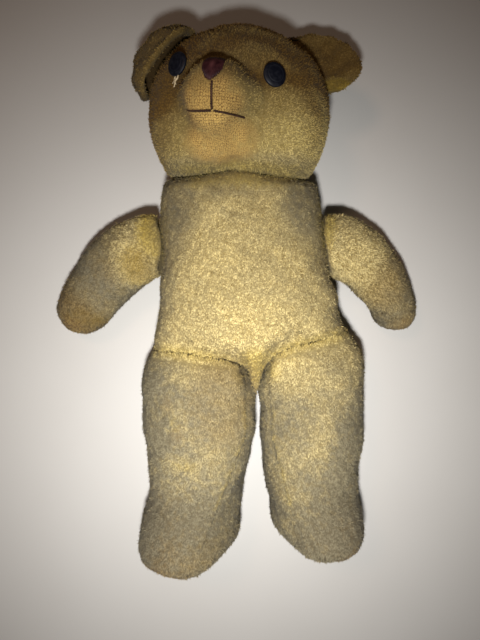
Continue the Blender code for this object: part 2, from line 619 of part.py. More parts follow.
def make_arm(which, collection):
    """Front and back panels that meet along the arm's outline, round the stuffing."""
    arm = ARMS[which]

    def point_at(t, angle):
        return arm_point(arm, t, angle)

    t = places((0.0, 0.2, 3), (0.2, 0.84, 6), (0.84, 0.985, 5))
    middle = np.array(arm["shoulder"]) / 4 + np.array(arm["elbow"]) / 2 + np.array(arm["paw"]) / 4
    trim = 0.01
    seams = {"front": (trim, math.pi - trim), "back": (math.pi + trim, 2 * math.pi - trim)}
    for layer in seams:
        tube_panel("arm_" + layer + "_" + which, point_at, t, seams[layer], 8, middle, collection)
    angle = np.linspace(0, 2 * math.pi, 16, endpoint=False)[None, :]
    root = 0.02
    place = places((root, 0.2, 3), (0.2, 0.84, 6), (0.84, 0.985, 5))[:, None]
    cap = arm_point(arm, np.full((2, 1), root) + 0 * angle, angle, PACKED, np.array([0.35, 0.7])[:, None])
    rows = np.concatenate([cap, arm_point(arm, place + 0 * angle, angle + 0 * place, PACKED)])
    start = arm_point(arm, root, 0.0, PACKED, 0.0)
    end = arm_point(arm, 1.0, 0.0, PACKED)
    mesh = lofted_mesh("stuffing_arm_" + which, rows, True, start, end)
    add_object("stuffing_arm_" + which, mesh, "stuffing", collection)


def main():
    clear_scene()
    scene = bpy.context.scene.collection
    bear = bpy.data.collections.new("teddy_bear")
    cutters = bpy.data.collections.new("cutters")
    scene.children.link(bear)
    scene.children.link(cutters)
    filling = head_stuffing(bear)
    head_gusset(bear)
    for which in ("left", "right"):
        make_eye(which, head_side(which, bear), filling, bear, cutters)
    make_nose(bear)
    for name in STITCHES:
        stitch(name, bear)
    make_body(bear)
    for which in ("left", "right"):
        make_ear(which, bear)
        make_arm(which, bear)
        make_leg(which, bear)


main()
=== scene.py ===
"""Threadbare teddy bear: worn plush skin and pile, knitted backing, thread and button eyes.

Metres, +Z up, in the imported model's frame: head along +Y, feet along -Y, left side along +X.
The bear lies on its back on z = 0. Each stuffed part is one closed skin, worked out as rows of
points round it, and its pile is a coat of short blades that stand on that skin.
"""
import math

import bpy
import numpy as np
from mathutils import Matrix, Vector


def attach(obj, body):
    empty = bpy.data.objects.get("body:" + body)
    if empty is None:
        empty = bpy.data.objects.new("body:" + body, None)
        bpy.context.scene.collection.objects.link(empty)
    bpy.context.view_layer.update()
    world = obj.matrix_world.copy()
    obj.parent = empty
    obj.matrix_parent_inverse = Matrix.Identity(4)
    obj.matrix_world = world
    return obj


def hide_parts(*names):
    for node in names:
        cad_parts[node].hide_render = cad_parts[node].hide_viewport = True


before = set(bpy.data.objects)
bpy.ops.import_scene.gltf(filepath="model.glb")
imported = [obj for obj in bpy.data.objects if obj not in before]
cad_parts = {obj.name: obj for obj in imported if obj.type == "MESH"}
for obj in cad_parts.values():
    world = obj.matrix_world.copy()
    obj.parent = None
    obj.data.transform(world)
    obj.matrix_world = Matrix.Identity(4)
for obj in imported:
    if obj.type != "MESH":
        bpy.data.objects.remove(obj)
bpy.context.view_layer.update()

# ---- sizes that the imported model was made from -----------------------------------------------
# Places along a part run from 0, at the neck or where a limb is sewn on, to 1 at its far end.
# Places on the face are two slopes, sideways and up, from the axis that the face looks along.
SEAM, FIT = 0.0013, 0.0004

HEAD_CENTRE = np.array([-0.0127, 0.1308, 0.0575])
HEAD_HALF = np.array([0.0638, 0.0477, 0.0590])
HEAD_CROWN = 0.0566
HEAD_YAW, HEAD_ROLL = math.radians(-9.6), math.radians(-7.0)
CROWN_POWER, JOWL_POWER = 1.92, 3.0
MUZZLE_REACH, MUZZLE_DROP = 0.0215, 0.219
MUZZLE_WIDE, MUZZLE_TALL, MUZZLE_CHIN = 0.275, 0.34, 0.04
GUSSET_AT, GUSSET_HALF = [3.0, 30.0, 90.0, 150.0, 215.0], [4.0, 11.0, 27.0, 21.0, 7.0]

NECK_Y, NECK_GAP, NECK_BACK = 0.0860, 0.0011, 0.1000
HIP_AT = [-0.090, -0.070, -0.050, -0.035, -0.020, -0.010, 0.000, 0.010, 0.020, 0.040, 0.060, 0.090]
HIP_AT_Y = [-0.0410, -0.0428, -0.0445, -0.0468, -0.0497, -0.0532,
            -0.0575, -0.0478, -0.0415, -0.0362, -0.0310, -0.0240]
# How far along a part the shape of its sewn end is felt.
NECK_FADE, HIP_FADE, SHOULDER_FADE = 0.35, 0.40, 0.45
TORSO_AT = [0.0, 0.05, 0.14, 0.35, 0.55, 0.75, 0.93, 1.0]
TORSO_HALF = [0.0500, 0.0555, 0.0590, 0.0605, 0.0620, 0.0665, 0.0750, 0.0755]
TORSO_TOP = [0.0790, 0.0835, 0.0860, 0.0875, 0.0885, 0.0870, 0.0800, 0.0745]
TORSO_MIDDLE = [-0.0125, -0.0122, -0.0118, -0.0105, -0.0085, -0.0050, -0.0008, 0.0]
TORSO_POWER, TORSO_SINK = 2.35, 0.0030

LEG_AT = [0.0, 0.06, 0.20, 0.45, 0.66, 0.80, 0.92, 1.0]
LEG_HEIGHT, LEG_POWER = 0.0345, 2.2
SOLE_ROUND, SOLE_TILT = 0.024, 0.16
LEGS = {
    "right": dict(
        side=-1, end=-0.2035, drawn=0.1491, turn=math.radians(32),
        middle=[0.0420, 0.0425, 0.0430, 0.0435, 0.0450, 0.0470, 0.0465, 0.0455],
        half=[0.0365, 0.0395, 0.0400, 0.0380, 0.0335, 0.0350, 0.0350, 0.0340],
        toe=[0.0330, 0.0360, 0.0370, 0.0360, 0.0370, 0.0465, 0.0530, 0.0530],
        heel=[0.0330, 0.0350, 0.0360, 0.0360, 0.0350, 0.0360, 0.0360, 0.0340]),
    "left": dict(
        side=1, end=-0.1930, drawn=0.1386, turn=math.radians(24),
        middle=[0.0420, 0.0430, 0.0435, 0.0440, 0.0450, 0.0455, 0.0445, 0.0435],
        half=[0.0365, 0.0390, 0.0395, 0.0375, 0.0330, 0.0330, 0.0330, 0.0320],
        toe=[0.0330, 0.0360, 0.0370, 0.0360, 0.0365, 0.0440, 0.0500, 0.0500],
        heel=[0.0330, 0.0350, 0.0360, 0.0360, 0.0350, 0.0350, 0.0350, 0.0340]),
}

ARM_AT = [0.0, 0.12, 0.35, 0.62, 0.85, 1.0]
ARM_THICK = [0.0215, 0.0215, 0.0205, 0.0185, 0.0168, 0.0160]
PAW_ROUND = 0.017
ARMS = {
    "right": dict(
        side=-1, shoulder=(-0.0660, 0.0370, 0.0430), elbow=(-0.1125, 0.0405, 0.0260),
        paw=(-0.1450, -0.0285, 0.0175), half=[0.0215, 0.0235, 0.0250, 0.0235, 0.0200, 0.0180]),
    "left": dict(
        side=1, shoulder=(0.0440, 0.0375, 0.0430), elbow=(0.0920, 0.0455, 0.0260),
        paw=(0.1185, -0.0275, 0.0175), half=[0.0215, 0.0230, 0.0238, 0.0218, 0.0180, 0.0158]),
}

EAR_GAP, EAR_CALM, EAR_THICK = 0.0009, 0.60, 0.0024
EARS = {
    "right": dict(root=(-0.835, 0.545, 0.08), lean=(0.09, -0.37, 0.92), along=(0.46, 0.87, 0.18),
                  half=0.0206, height=0.0320, cup=0.0075, square=2.9, flare=0.09),
    "left": dict(root=(0.793, 0.609, 0.0), lean=(0.973, 0.228, 0.03), along=(-0.41, 0.91, -0.04),
                 half=0.0205, height=0.0362, cup=0.0042, square=2.5, flare=0.04),
}

EYE_RADIUS, EYE_DOME, EYE_EDGE, EYE_LIFT = 0.0076, 0.0019, 0.0012, 0.0014
EYE_RING = 0.66               # radius of the ring turned in a button, as a share of the button's
EYES = {"left": (0.582, 0.054), "right": (-0.540, 0.102)}
EYE_LOOKS = {"left": (0.50, 0.03, 0.86), "right": (-0.445, -0.03, 0.89)}
EYE_SHIFT = {"left": (-0.022, -0.014), "right": (0.026, -0.004)}
NOSE_HALF, NOSE_HEIGHT, NOSE_THICK = 0.0060, 0.0152, 0.0018
NOSE_SIDE, NOSE_RISE = -0.010, -0.085
NOSE_LEAN = 0.018             # how far the foot of the nose leans over, in slopes
NOSE_STITCHES, NOSE_SPREAD, NOSE_THREAD = 17, 0.94, 0.00052   # count, reach of width, radius
FACE_THREADS = {"nose_stem_stitch": 0.00095, "mouth_stitch_right": 0.00085,
                "mouth_stitch_left": 0.00072}
NOSE_OUTLINE = [0.0, 0.10, 0.35, 0.62, 0.85, 1.0], [0.80, 0.92, 1.0, 0.88, 0.55, 0.18]
STITCHES = {
    "nose_stem_stitch": ((-0.002, -0.180), (0.012, -0.382), 0.0, 0.0006),
    "mouth_stitch_right": ((0.006, -0.390), (-0.275, -0.390), 0.010, 0.0008),
    "mouth_stitch_left": ((0.022, -0.390), (0.290, -0.441), -0.006, 0.0008),
}
SNAG_AT, SNAG_LOOPS, SNAG_ENDS = (-0.512, -0.060), 2, 5
NOSE_STEPS, THREAD_STEPS, PLY_PITCH = 16, 70, 0.0026      # steps along each, and a ply's full turn

# ---- sizes of the cloth, the pile and the thread ---------------------------------------------
KNIT_PITCH = 0.0015           # from one knitted loop to the next
LOOPS = {"head": 320, "ear": 60, "body": 250, "leg": 150, "arm": 90}    # knitted loops round each
FILL = {"head": 0.9, "ear": 0.3, "body": 0.85, "leg": 0.85, "arm": 0.85}    # how firm each is
GROOVE_WIDE = 0.0016          # half width of the valley along a seam
TUCK = 0.0030                 # radius at which a stuffed end turns in to its seam
PILE_LOW = 0.0003             # how far a blade's foot sits in the cloth
PILE_REST = 0.0003            # lowest height of a blade above the table
BLADE = [0.0, 0.55, 1.0, 0.55]            # how far along a blade its foot, sides and tip are
TUFT_SPREAD, TUFT_OPEN = 0.45, 0.45       # reach of a tuft's feet in pitches, and its outward lean
UPRIGHT = 0.12                            # share of blades that stand up out of the nap
DRIFT_PITCH = 0.0075                      # length over which the nap's lean drifts
UNDERSIDE, UNDERSIDE_SHARE = -0.35, 0.30  # where a skin faces down, and the tufts that grow there
BAKE_CELL, BAKE_FIT = 0.0012, 0.998       # size of a blade on the bake map, and the map's scale
CLOSING = (0.93, 0.80, 0.55, 0.25)        # rings that close a sewn end, as shares of its last ring
WAVES = 9                                 # sine waves that make up any unevenness

# Coats of pile: from one tuft to the next, blades in a tuft, their length and width, how flat they
# lie from 0 to 1, how much a tuft's lean wanders and how much its colour varies.
COAT = dict(pitch=0.0014, each=5, length=0.0025, wide=0.00052, lie=0.74, swirl=0.40, vary=1.0)
COATS = {
    "head": {**COAT, "each": 4, "length": 0.0021, "wide": 0.00045, "lie": 0.78, "swirl": 0.22,
             "vary": 0.26},
    "ear": {**COAT, "pitch": 0.0013, "each": 4, "length": 0.0020, "lie": 0.72, "swirl": 0.25},
    "belly": {**COAT, "each": 6, "length": 0.0020, "swirl": 0.32},
    "back": COAT,
    "leg": {**COAT, "pitch": 0.0015, "length": 0.0026, "lie": 0.76, "swirl": 0.22},
    "arm": {**COAT, "swirl": 0.25},
}
SEEDS = {"head": 101, "ear_left": 115, "ear_right": 116, "belly": 121, "back": 122,
         "leg_left": 132, "leg_right": 130, "arm_left": 142, "arm_right": 140}

# Seams: degrees round the part and depth, and the part's radius at them. A negative depth is the
# ridge beside a seam.
BODY_SEAMS, BODY_SEAM_RADIUS = ((90, 0.0006), (188, 0.0006), (-8, 0.0006)), 0.06
LEG_SEAMS, LEG_SEAM_RADIUS = ((-25, 0.0006), (141, -0.0009), (144.5, 0.0006)), 0.035
ARM_SEAMS, ARM_SEAM_RADIUS = ((0, 0.0005), (180, 0.0005)), 0.02
LEG_SEAM_WIDE, LEG_RIDGE_AT = 0.0013, 140


# ---- shape functions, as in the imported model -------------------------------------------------
def eased(stations, values, at):
    """Smooth curve through values at stations: a cubic between each two, with shared slopes."""
    stations = np.asarray(stations, float)
    values = np.asarray(values, float)
    at = np.asarray(at, float)
    slopes = np.gradient(values, stations)
    i = np.clip(np.searchsorted(stations, at, side="right") - 1, 0, len(stations) - 2)
    step = stations[i + 1] - stations[i]
    s = np.clip((at - stations[i]) / step, 0, 1)
    start = (1 + 2 * s) * (1 - s) ** 2 * values[i] + s * (1 - s) ** 2 * step * slopes[i]
    return start + s * s * (3 - 2 * s) * values[i + 1] + s * s * (s - 1) * step * slopes[i + 1]


def unit(vectors):
    """Vectors brought to length 1."""
    return vectors / np.maximum(np.linalg.norm(vectors, axis=-1, keepdims=True), 1e-12)


def signed_power(values, exponent):
    """Power of the size of values, with their sign kept."""
    return np.sign(values) * np.abs(values) ** exponent


def rounded_end(t, reach):
    """Place along a limb and size of its ring, where the last stretch closes as a round end."""
    angle = np.clip((t - (1 - reach)) / reach, 0, 1) * math.pi / 2
    place = np.where(t < 1 - reach, t, 1 - reach + reach * np.sin(angle))
    return place, np.where(t < 1 - reach, 1.0, np.cos(angle) ** 0.75)


def face_axes():
    """Columns: the face's own right, up and forward directions."""
    cy, sy = math.cos(HEAD_YAW), math.sin(HEAD_YAW)
    cr, sr = math.cos(HEAD_ROLL), math.sin(HEAD_ROLL)
    yaw = np.array([[cy, 0, sy], [0, 1, 0], [-sy, 0, cy]])
    roll = np.array([[cr, -sr, 0], [sr, cr, 0], [0, 0, 1]])
    return yaw @ roll


def head_radius(direction, inset=0.0):
    """Distance from the head's middle: a full-cheeked ball with the muzzle standing out of it."""
    low = 0.5 - 0.5 * np.tanh(direction[..., 1] * 3.0)
    power = (CROWN_POWER + (JOWL_POWER - CROWN_POWER) * low)[..., None]
    half = np.stack([HEAD_HALF[0] + 0 * low, HEAD_CROWN + (HEAD_HALF[1] - HEAD_CROWN) * low,
                     HEAD_HALF[2] + 0 * low], -1) - inset
    ball = (np.abs(direction / half) ** power).sum(-1) ** (-1 / power[..., 0])
    local = direction @ face_axes()
    ahead = np.maximum(local[..., 2], 0.05)
    side = local[..., 0] / ahead
    rise = local[..., 1] / ahead + MUZZLE_DROP
    tall = MUZZLE_TALL - MUZZLE_CHIN * np.tanh(rise * 8)
    narrower = inset / HEAD_HALF[2]
    out = (side / (MUZZLE_WIDE - narrower)) ** 2 + (rise / (tall - narrower)) ** 2
    return ball + MUZZLE_REACH * (1 - 0.16 * np.minimum(out, 2)) / (1 + out ** 3)


def head_point(polar, around):
    """Point of the head at a polar angle from the face's right-hand axis, and a turn around that
    axis from the face to the crown."""
    local = np.stack([np.cos(polar) + 0 * around, np.sin(polar) * np.sin(around),
                      np.sin(polar) * np.cos(around)], -1)
    direction = local @ face_axes().T
    point = HEAD_CENTRE + direction * head_radius(direction)[..., None]
    point[..., 2] = np.maximum(point[..., 2], 0)
    return point


def face_point(side, rise, lift=0.0):
    """Point on the face at two slopes from the axis that the face looks along."""
    side, rise = np.broadcast_arrays(np.asarray(side, float), np.asarray(rise, float))
    direction = unit(np.stack([side, rise, np.ones_like(side)], -1)) @ face_axes().T
    return HEAD_CENTRE + direction * (head_radius(direction) + lift)[..., None]


def face_slopes(points):
    """The two slopes of points seen from the head's middle, and how far ahead of it they lie."""
    local = (points - HEAD_CENTRE) @ face_axes()
    ahead = local[..., 2]
    safe = np.maximum(ahead, 0.004)
    return local[..., 0] / safe, local[..., 1] / safe, ahead


def under_head(x, z):
    """Y of the underside of the head at a place across and up."""
    across = np.abs((x - HEAD_CENTRE[0]) / HEAD_HALF[0]) ** JOWL_POWER
    up = np.abs((z - HEAD_CENTRE[2]) / HEAD_HALF[2]) ** JOWL_POWER
    return HEAD_CENTRE[1] - HEAD_HALF[1] * np.clip(1 - across - up, 0, 1) ** (1 / JOWL_POWER)


def neck_edge(x, z):
    """Y at which the body ends under the head."""
    return np.minimum(under_head(x, z) - NECK_GAP, NECK_BACK)


def hip_y(x):
    """Y of the hip creases at a place across."""
    return eased(HIP_AT, HIP_AT_Y, x)


def torso_section(t, inset=0.0):
    """Middle, half width, middle height and half height of the body's section."""
    half = eased(TORSO_AT, TORSO_HALF, t) - inset
    top = eased(TORSO_AT, TORSO_TOP, t) - inset
    bottom = inset - TORSO_SINK
    return eased(TORSO_AT, TORSO_MIDDLE, t), half, (top + bottom) / 2, (top - bottom) / 2


def torso_y(t, x, z):
    """Y at t from the neck, which follows the head, to the hips, which follow the creases."""
    fade = np.clip(1 - t / NECK_FADE, 0, 1) ** 2
    return NECK_Y + (hip_y(x) + FIT - NECK_Y) * t + fade * (neck_edge(x, z) - NECK_Y)


def torso_point(t, angle, inset=0.0):
    """Point of the body at t from the neck to the hips and an angle round its section."""
    middle, half, height, depth = torso_section(t, inset)
    power = 2 / TORSO_POWER
    x = middle + half * signed_power(np.cos(angle), power)
    z = np.maximum(height + depth * signed_power(np.sin(angle), power), inset)
    return np.stack([x, torso_y(t, x, z), z], -1)


def hip_meeting(x):
    """Heights at the hip crease of the body's front and of a leg's front, and the height at which
    the plush of both meets: a little below the body, more where it turns in to the crotch."""
    _, half, height, depth = torso_section(1.0)
    across = np.clip(np.abs(x) / half, 0, 1)
    body = height + depth * (1 - across ** TORSO_POWER) ** (1 / TORSO_POWER)
    shape = LEGS["left"]
    across = np.clip(np.abs(np.abs(x) - shape["middle"][0]) / shape["half"][0], 0, 1)
    leg = LEG_HEIGHT + shape["toe"][0] * (1 - across ** LEG_POWER) ** (1 / LEG_POWER)
    return body, leg, body - np.clip(0.4 * (body - leg), -0.002, 0.007)


def torso_side(side, y, z):
    """X of the body's surface on one side, at a place along it and up, found by halving t."""
    low, high = np.zeros_like(y), np.ones_like(y)
    for _ in range(24):
        t = (low + high) / 2
        middle, half, height, depth = torso_section(t)
        full = np.clip(1 - np.abs((z - height) / depth) ** TORSO_POWER, 0.02, 1)
        x = middle + side * half * full ** (1 / TORSO_POWER)
        here = torso_y(t, x, z)
        low, high = np.where(here > y, t, low), np.where(here > y, high, t)
    return x


def leg_point(leg, t, angle, inset=0.0):
    """t from the hip crease to the middle of the sole; angle from the outer side over the toe."""
    t, angle, inset = np.broadcast_arrays(t, angle, inset)
    start = hip_y(leg["side"] * leg["middle"][0]) - FIT
    length = start - leg["end"] - inset
    place, ring = rounded_end(t, SOLE_ROUND / length)
    longer = length / leg["drawn"] - 1
    at = place - longer * (1 - place) * (1 - (1 - place) ** 5)
    half = eased(LEG_AT, leg["half"], at) - inset
    toe = eased(LEG_AT, leg["toe"], at) - inset
    heel = eased(LEG_AT, leg["heel"], at) - inset
    wide = half * ring * signed_power(np.cos(angle), 2 / LEG_POWER)
    up = signed_power(np.sin(angle), 2 / LEG_POWER) * ring
    tall = np.where(up > 0, toe, heel) * up
    turn = leg["turn"] * np.clip((at - 0.35) / 0.5, 0, 1)
    middle = leg["side"] * eased(LEG_AT, leg["middle"], at)
    x = middle + leg["side"] * (wide * np.cos(turn) + tall * np.sin(turn))
    z = LEG_HEIGHT + tall * np.cos(turn) - wide * np.sin(turn)
    y = start - length * place - SOLE_TILT * np.clip((at - 0.6) / 0.4, 0, 1) * tall
    y = y + np.clip(1 - place / HIP_FADE, 0, 1) ** 2 * (hip_y(x) - start - FIT)
    return np.stack([x, y, np.maximum(z, inset)], -1)


def arm_point(arm, t, angle, inset=0.0):
    """t from the body to the tip of the paw, along a bend through shoulder, elbow and paw."""
    t, angle, inset = np.broadcast_arrays(t, angle, inset)
    a, b, c = (np.array(arm[name]) for name in ("shoulder", "elbow", "paw"))
    length = (np.linalg.norm(b - a) + np.linalg.norm(c - b) + np.linalg.norm(c - a)) / 2
    place, ring = rounded_end(t, PAW_ROUND / length)
    s = place[..., None]
    middle = (1 - s) ** 2 * a + 2 * s * (1 - s) * b + s * s * c
    along = unit(2 * (1 - s) * (b - a) + 2 * s * (c - b))
    across = unit(np.cross(along, [0.0, 0.0, 1.0]))
    up = np.cross(across, along)
    wide = (eased(ARM_AT, arm["half"], place) - inset) * ring * np.cos(angle)
    thick = (eased(ARM_AT, ARM_THICK, place) - inset) * ring * np.sin(angle)
    point = middle + across * wide[..., None] + up * thick[..., None]
    across = unit(np.cross(b - a, [0.0, 0.0, 1.0]))
    up = unit(np.cross(across, b - a))
    wide = (arm["half"][0] - inset) * np.cos(angle)
    thick = (ARM_THICK[0] - inset) * np.sin(angle)
    root = a + across * wide[..., None] + up * thick[..., None]
    seat = torso_side(arm["side"], root[..., 1], root[..., 2]) + arm["side"] * (SEAM + FIT)
    fade = np.clip(1 - place / SHOULDER_FADE, 0, 1) ** 2
    point[..., 0] += fade * (seat - root[..., 0])
    point[..., 2] = np.maximum(point[..., 2], inset)
    return point


def ear_middle(ear, w, v):
    """The ear's middle layer: w from end to end of the root, v from the root to the rim."""
    w, v = np.broadcast_arrays(np.asarray(w, float), np.asarray(v, float))
    u = np.sin(w * math.pi / 2)
    root, lean = unit(np.array(ear["root"])), unit(np.array(ear["lean"]))
    along = np.array(ear["along"])
    along = unit(along - root * (along @ root))
    direction = unit(root + along * (ear["half"] / HEAD_HALF[1]) * u[..., None])
    base = HEAD_CENTRE + direction * (head_radius(direction) + EAR_GAP)[..., None]
    out = unit(lean * (0.35 + v[..., None]) + direction * (0.9 - 0.6 * v[..., None]))
    front = unit(np.cross(along, out)) * np.sign(np.cross(along, lean + root)[2])
    full = 0.16 + 0.84 * np.sqrt(np.maximum(1 - np.abs(u) ** ear["square"], 0))
    cup = ear["cup"] * full ** 2 * np.sin(math.pi * v)
    spread = ear["flare"] * u * v * ear["half"]
    return (base + out * (ear["height"] * full * v)[..., None] + along * spread[..., None]
            - front * cup[..., None])


def ear_point(ear, w, v, lift=0.0):
    """Point at a height off the ear's middle layer, towards its front."""
    step = 0.02
    inner, low, high = EAR_CALM * w, np.maximum(v - step, 0), np.minimum(v + step, 1)
    across = ear_middle(ear, inner + step, v) - ear_middle(ear, inner - step, v)
    rising = ear_middle(ear, inner, high) - ear_middle(ear, inner, low)
    facing = np.sign(np.cross(ear["along"], np.add(ear["lean"], ear["root"]))[2])
    front = facing * unit(np.cross(across, rising))
    return ear_middle(ear, w, v) + front * np.asarray(lift)[..., None]


# ---- tools for surfaces ----------------------------------------------------------------------
def eased_step(low, high, at):
    """0 below low, 1 above high and a smooth S between them."""
    s = np.clip((at - low) / (high - low), 0, 1)
    return s * s * (3 - 2 * s)


def wave_angles(points, pitch, seed):
    """Seeded directions of sine waves of about one pitch, and the angle of each wave at points."""
    rng = np.random.default_rng(seed)
    ways = unit(rng.normal(size=(WAVES, 3)))
    ways = ways * rng.uniform(0.7, 1.4, (WAVES, 1)) * 2 * math.pi / pitch
    return ways, points @ ways.T + rng.uniform(0, 2 * math.pi, WAVES)


def waves(points, pitch, seed):
    """Smooth unevenness of about unit size: the sum of the sine waves."""
    return np.sin(wave_angles(points, pitch, seed)[1]).sum(-1) * math.sqrt(2 / WAVES)


def wave_slope(points, pitch, seed):
    """Direction in which waves() rises, about unit size."""
    ways, angles = wave_angles(points, pitch, seed)
    return (np.cos(angles) @ ways) * pitch / (2 * math.pi) * math.sqrt(2 / WAVES)


def spots(points, places):
    """How strongly points lie in soft round places, each (centre, reach, strength)."""
    found = np.zeros(points.shape[:-1])
    for centre, reach, strength in places:
        away = np.linalg.norm((points - np.array(centre)) / np.array(reach), axis=-1)
        found = np.maximum(found, strength * (1 - eased_step(0.45, 1.0, away)))
    return found


def tucked(t, reach, radius=TUCK):
    """Inset of a ring near a sewn end: a quarter round of the given radius over the reach of t."""
    near = np.clip(1 - t / reach, 0, 1)
    return radius * (1 - np.sqrt(np.clip(1 - near ** 2, 0, 1)))


def closed_in(rows, at_start=True):
    """Rows with more rings that draw in to the middle of the first or last ring."""
    ring = rows[0] if at_start else rows[-1]
    middle = ring.mean(0)
    caps = np.stack([middle + (ring - middle) * share for share in CLOSING])
    return np.concatenate([caps[::-1], rows] if at_start else [rows, caps])


def bare_ends(rows, both=False):
    """Share of tufts that grow on rows: none on the rings that close the first end, or both."""
    keep = np.ones(rows.shape[:2])
    keep[:len(CLOSING)] = 0
    if both:
        keep[-len(CLOSING):] = 0
    return keep


def steps_along(*runs):
    """Places along a part in runs of even steps: each run is (first, last, count), and its last
    place is the first of the next run."""
    parts = [np.linspace(*run) for run in runs]
    return np.concatenate([part[:-1] for part in parts[:-1]] + parts[-1:])


def turns(count):
    """Even angles round a ring."""
    return np.linspace(0, 2 * math.pi, count, endpoint=False)


def on_front(angle):
    """1 on the front of a ring, easing to 0 where it turns under."""
    return eased_step(-0.1, 0.5, np.sin(angle))[None, :]


def gaps(points):
    """Distances between neighbours along the first axis."""
    return np.linalg.norm(np.diff(points, axis=0), axis=-1)


def run_along(steps):
    """Length from the start to each point, from the steps between them."""
    return np.concatenate([[0], np.cumsum(steps)])


def grid_normals(rows):
    """Unit normals of a grid of points that closes across its columns, facing outwards."""
    across = np.roll(rows, -1, 1) - np.roll(rows, 1, 1)
    along = np.gradient(rows, axis=0)
    normals = unit(np.cross(across, along))
    outward = ((rows - rows.reshape(-1, 3).mean(0)) * normals).sum()
    return normals * (1 if outward > 0 else -1)


def raised(rows, normals, relief):
    """Rows moved out along their normals by a relief, and kept on or above the table."""
    made = rows + normals * relief[..., None]
    made[..., 2] = np.maximum(made[..., 2], 0)
    return made


def valley(distance, depth, wide=GROOVE_WIDE):
    """Depth of a rounded valley at a distance from its line."""
    return depth * np.exp(-(distance / wide) ** 2)


def cut_seams(relief, angle, seams, radius, wide=GROOVE_WIDE):
    """Relief with a valley along each seam of a part."""
    for degrees, depth in seams:
        turn = (angle[None, :] - math.radians(degrees) + math.pi) % (2 * math.pi) - math.pi
        relief = relief - valley(turn * radius, depth, wide)
    return relief


def tube_faces(count, columns):
    """Quads between neighbouring rings, the last column joined to the first."""
    i, j = np.meshgrid(np.arange(count - 1), np.arange(columns), indexing="ij")
    k = (j + 1) % columns
    below = (i + 1) * columns
    return np.stack([i * columns + j, i * columns + k, below + k, below + j], -1).reshape(-1, 4)


def fan_faces(tip, first, columns, flip):
    """Triangles from one point to each edge of a ring."""
    j = np.arange(columns)
    pair = np.stack([first + j, first + (j + 1) % columns], -1)
    pair = pair[:, ::-1] if flip else pair
    return np.concatenate([np.full((columns, 1), tip), pair], 1)


def with_ends(rows):
    """Points of a grid of rings, and after them the middles of its first and last ring."""
    return np.concatenate([rows.reshape(-1, 3), rows[:1].mean(1), rows[-1:].mean(1)])


def closed_faces(count, columns, flip):
    """Quads between the rings, and the triangles from the first and last ring to its middle."""
    total = count * columns
    quads = tube_faces(count, columns)
    fans = [fan_faces(total, 0, columns, not flip),
            fan_faces(total + 1, total - columns, columns, flip)]
    return quads[:, ::-1] if flip else quads, np.concatenate(fans)


def fill_mesh(name, points, quads, triangles=None):
    """Mesh of points, four-sided faces and, after them, three-sided ones."""
    mesh = bpy.data.meshes.new(name)
    corners = quads.ravel()
    starts = np.arange(len(quads)) * 4
    if triangles is not None and len(triangles):
        starts = np.concatenate([starts, len(corners) + np.arange(len(triangles)) * 3])
        corners = np.concatenate([corners, triangles.ravel()])
    mesh.vertices.add(len(points))
    mesh.vertices.foreach_set("co", np.ascontiguousarray(points, np.float32).ravel())
    mesh.loops.add(len(corners))
    mesh.loops.foreach_set("vertex_index", corners.astype(np.int32))
    mesh.polygons.add(len(starts))
    mesh.polygons.foreach_set("loop_start", starts.astype(np.int32))
    mesh.update(calc_edges=True)
    mesh.shade_smooth()
    return mesh


def set_map(mesh, name, pairs):
    """Map on a mesh, with a pair of numbers for each face corner."""
    layer = mesh.uv_layers.new(name=name)
    layer.data.foreach_set("uv", np.ascontiguousarray(pairs, np.float32).ravel())


def set_value(mesh, name, values):
    """Attribute of a mesh, with a number for each point."""
    layer = mesh.attributes.new(name, "FLOAT", "POINT")
    layer.data.foreach_set("value", np.ascontiguousarray(values, np.float32).ravel())


def new_object(name, data):
    """Object in the scene that shows a mesh, a lamp or a camera."""
    made = bpy.data.objects.new(name, data)
    bpy.context.scene.collection.objects.link(made)
    return made


def add_piece(name, mesh, finish, slot, *replaced):
    """Object for a finished mesh, riding on the bear's one body."""
    piece = new_object(name, mesh)
    mesh.materials.append(finish)
    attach(piece, "root")
    if replaced:
        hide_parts(*replaced)
    return piece


# ---- wear: where the pile is gone, unfaded, dirty or brown, and painted shade ----------------
# Soft round places: centre, reach each way and strength.
BALD = [
    (tuple(face_point(0.0, -0.42)), (0.028, 0.031, 0.030), 1.0),
    (tuple(face_point(0.02, -0.76)), (0.029, 0.024, 0.028), 0.85),
    (ARMS["right"]["paw"], (0.020, 0.022, 0.030), 0.45),
    (ARMS["left"]["paw"], (0.018, 0.020, 0.030), 0.45),
    ((-0.0670, -0.2000, 0.0620), (0.024, 0.014, 0.030), 0.45),
    ((0.0660, -0.1880, 0.0600), (0.020, 0.012, 0.028), 0.45),
    ((-0.0644, -0.0800, 0.0720), (0.006, 0.010, 0.020), 0.16),
    ((-0.0566, -0.1015, 0.0740), (0.008, 0.009, 0.020), 0.15),
]
UNFADED = [
    ((-0.073, 0.046, 0.045), (0.020, 0.034, 0.040), 0.9),
    ((-0.086, 0.022, 0.045), (0.022, 0.020, 0.030), 0.45),
    ((-0.136, -0.022, 0.025), (0.030, 0.017, 0.030), 0.80),
    ((-0.0595, -0.094, 0.070), (0.006, 0.010, 0.030), 0.40),
    ((-0.0510, -0.123, 0.070), (0.014, 0.006, 0.030), 0.35),
    ((-0.076, -0.214, 0.030), (0.020, 0.014, 0.030), 0.60),
    ((0.048, 0.052, 0.045), (0.014, 0.030, 0.040), 0.9),
    ((0.0580, 0.1510, 0.057), (0.017, 0.0085, 0.030), 1.3),
    (tuple(HEAD_CENTRE - [0, HEAD_HALF[1] + 0.002, -0.016]), (0.075, 0.016, 0.030), 0.75),
    ((0.0, -0.055, 0.075), (0.022, 0.022, 0.035), 0.62),
]
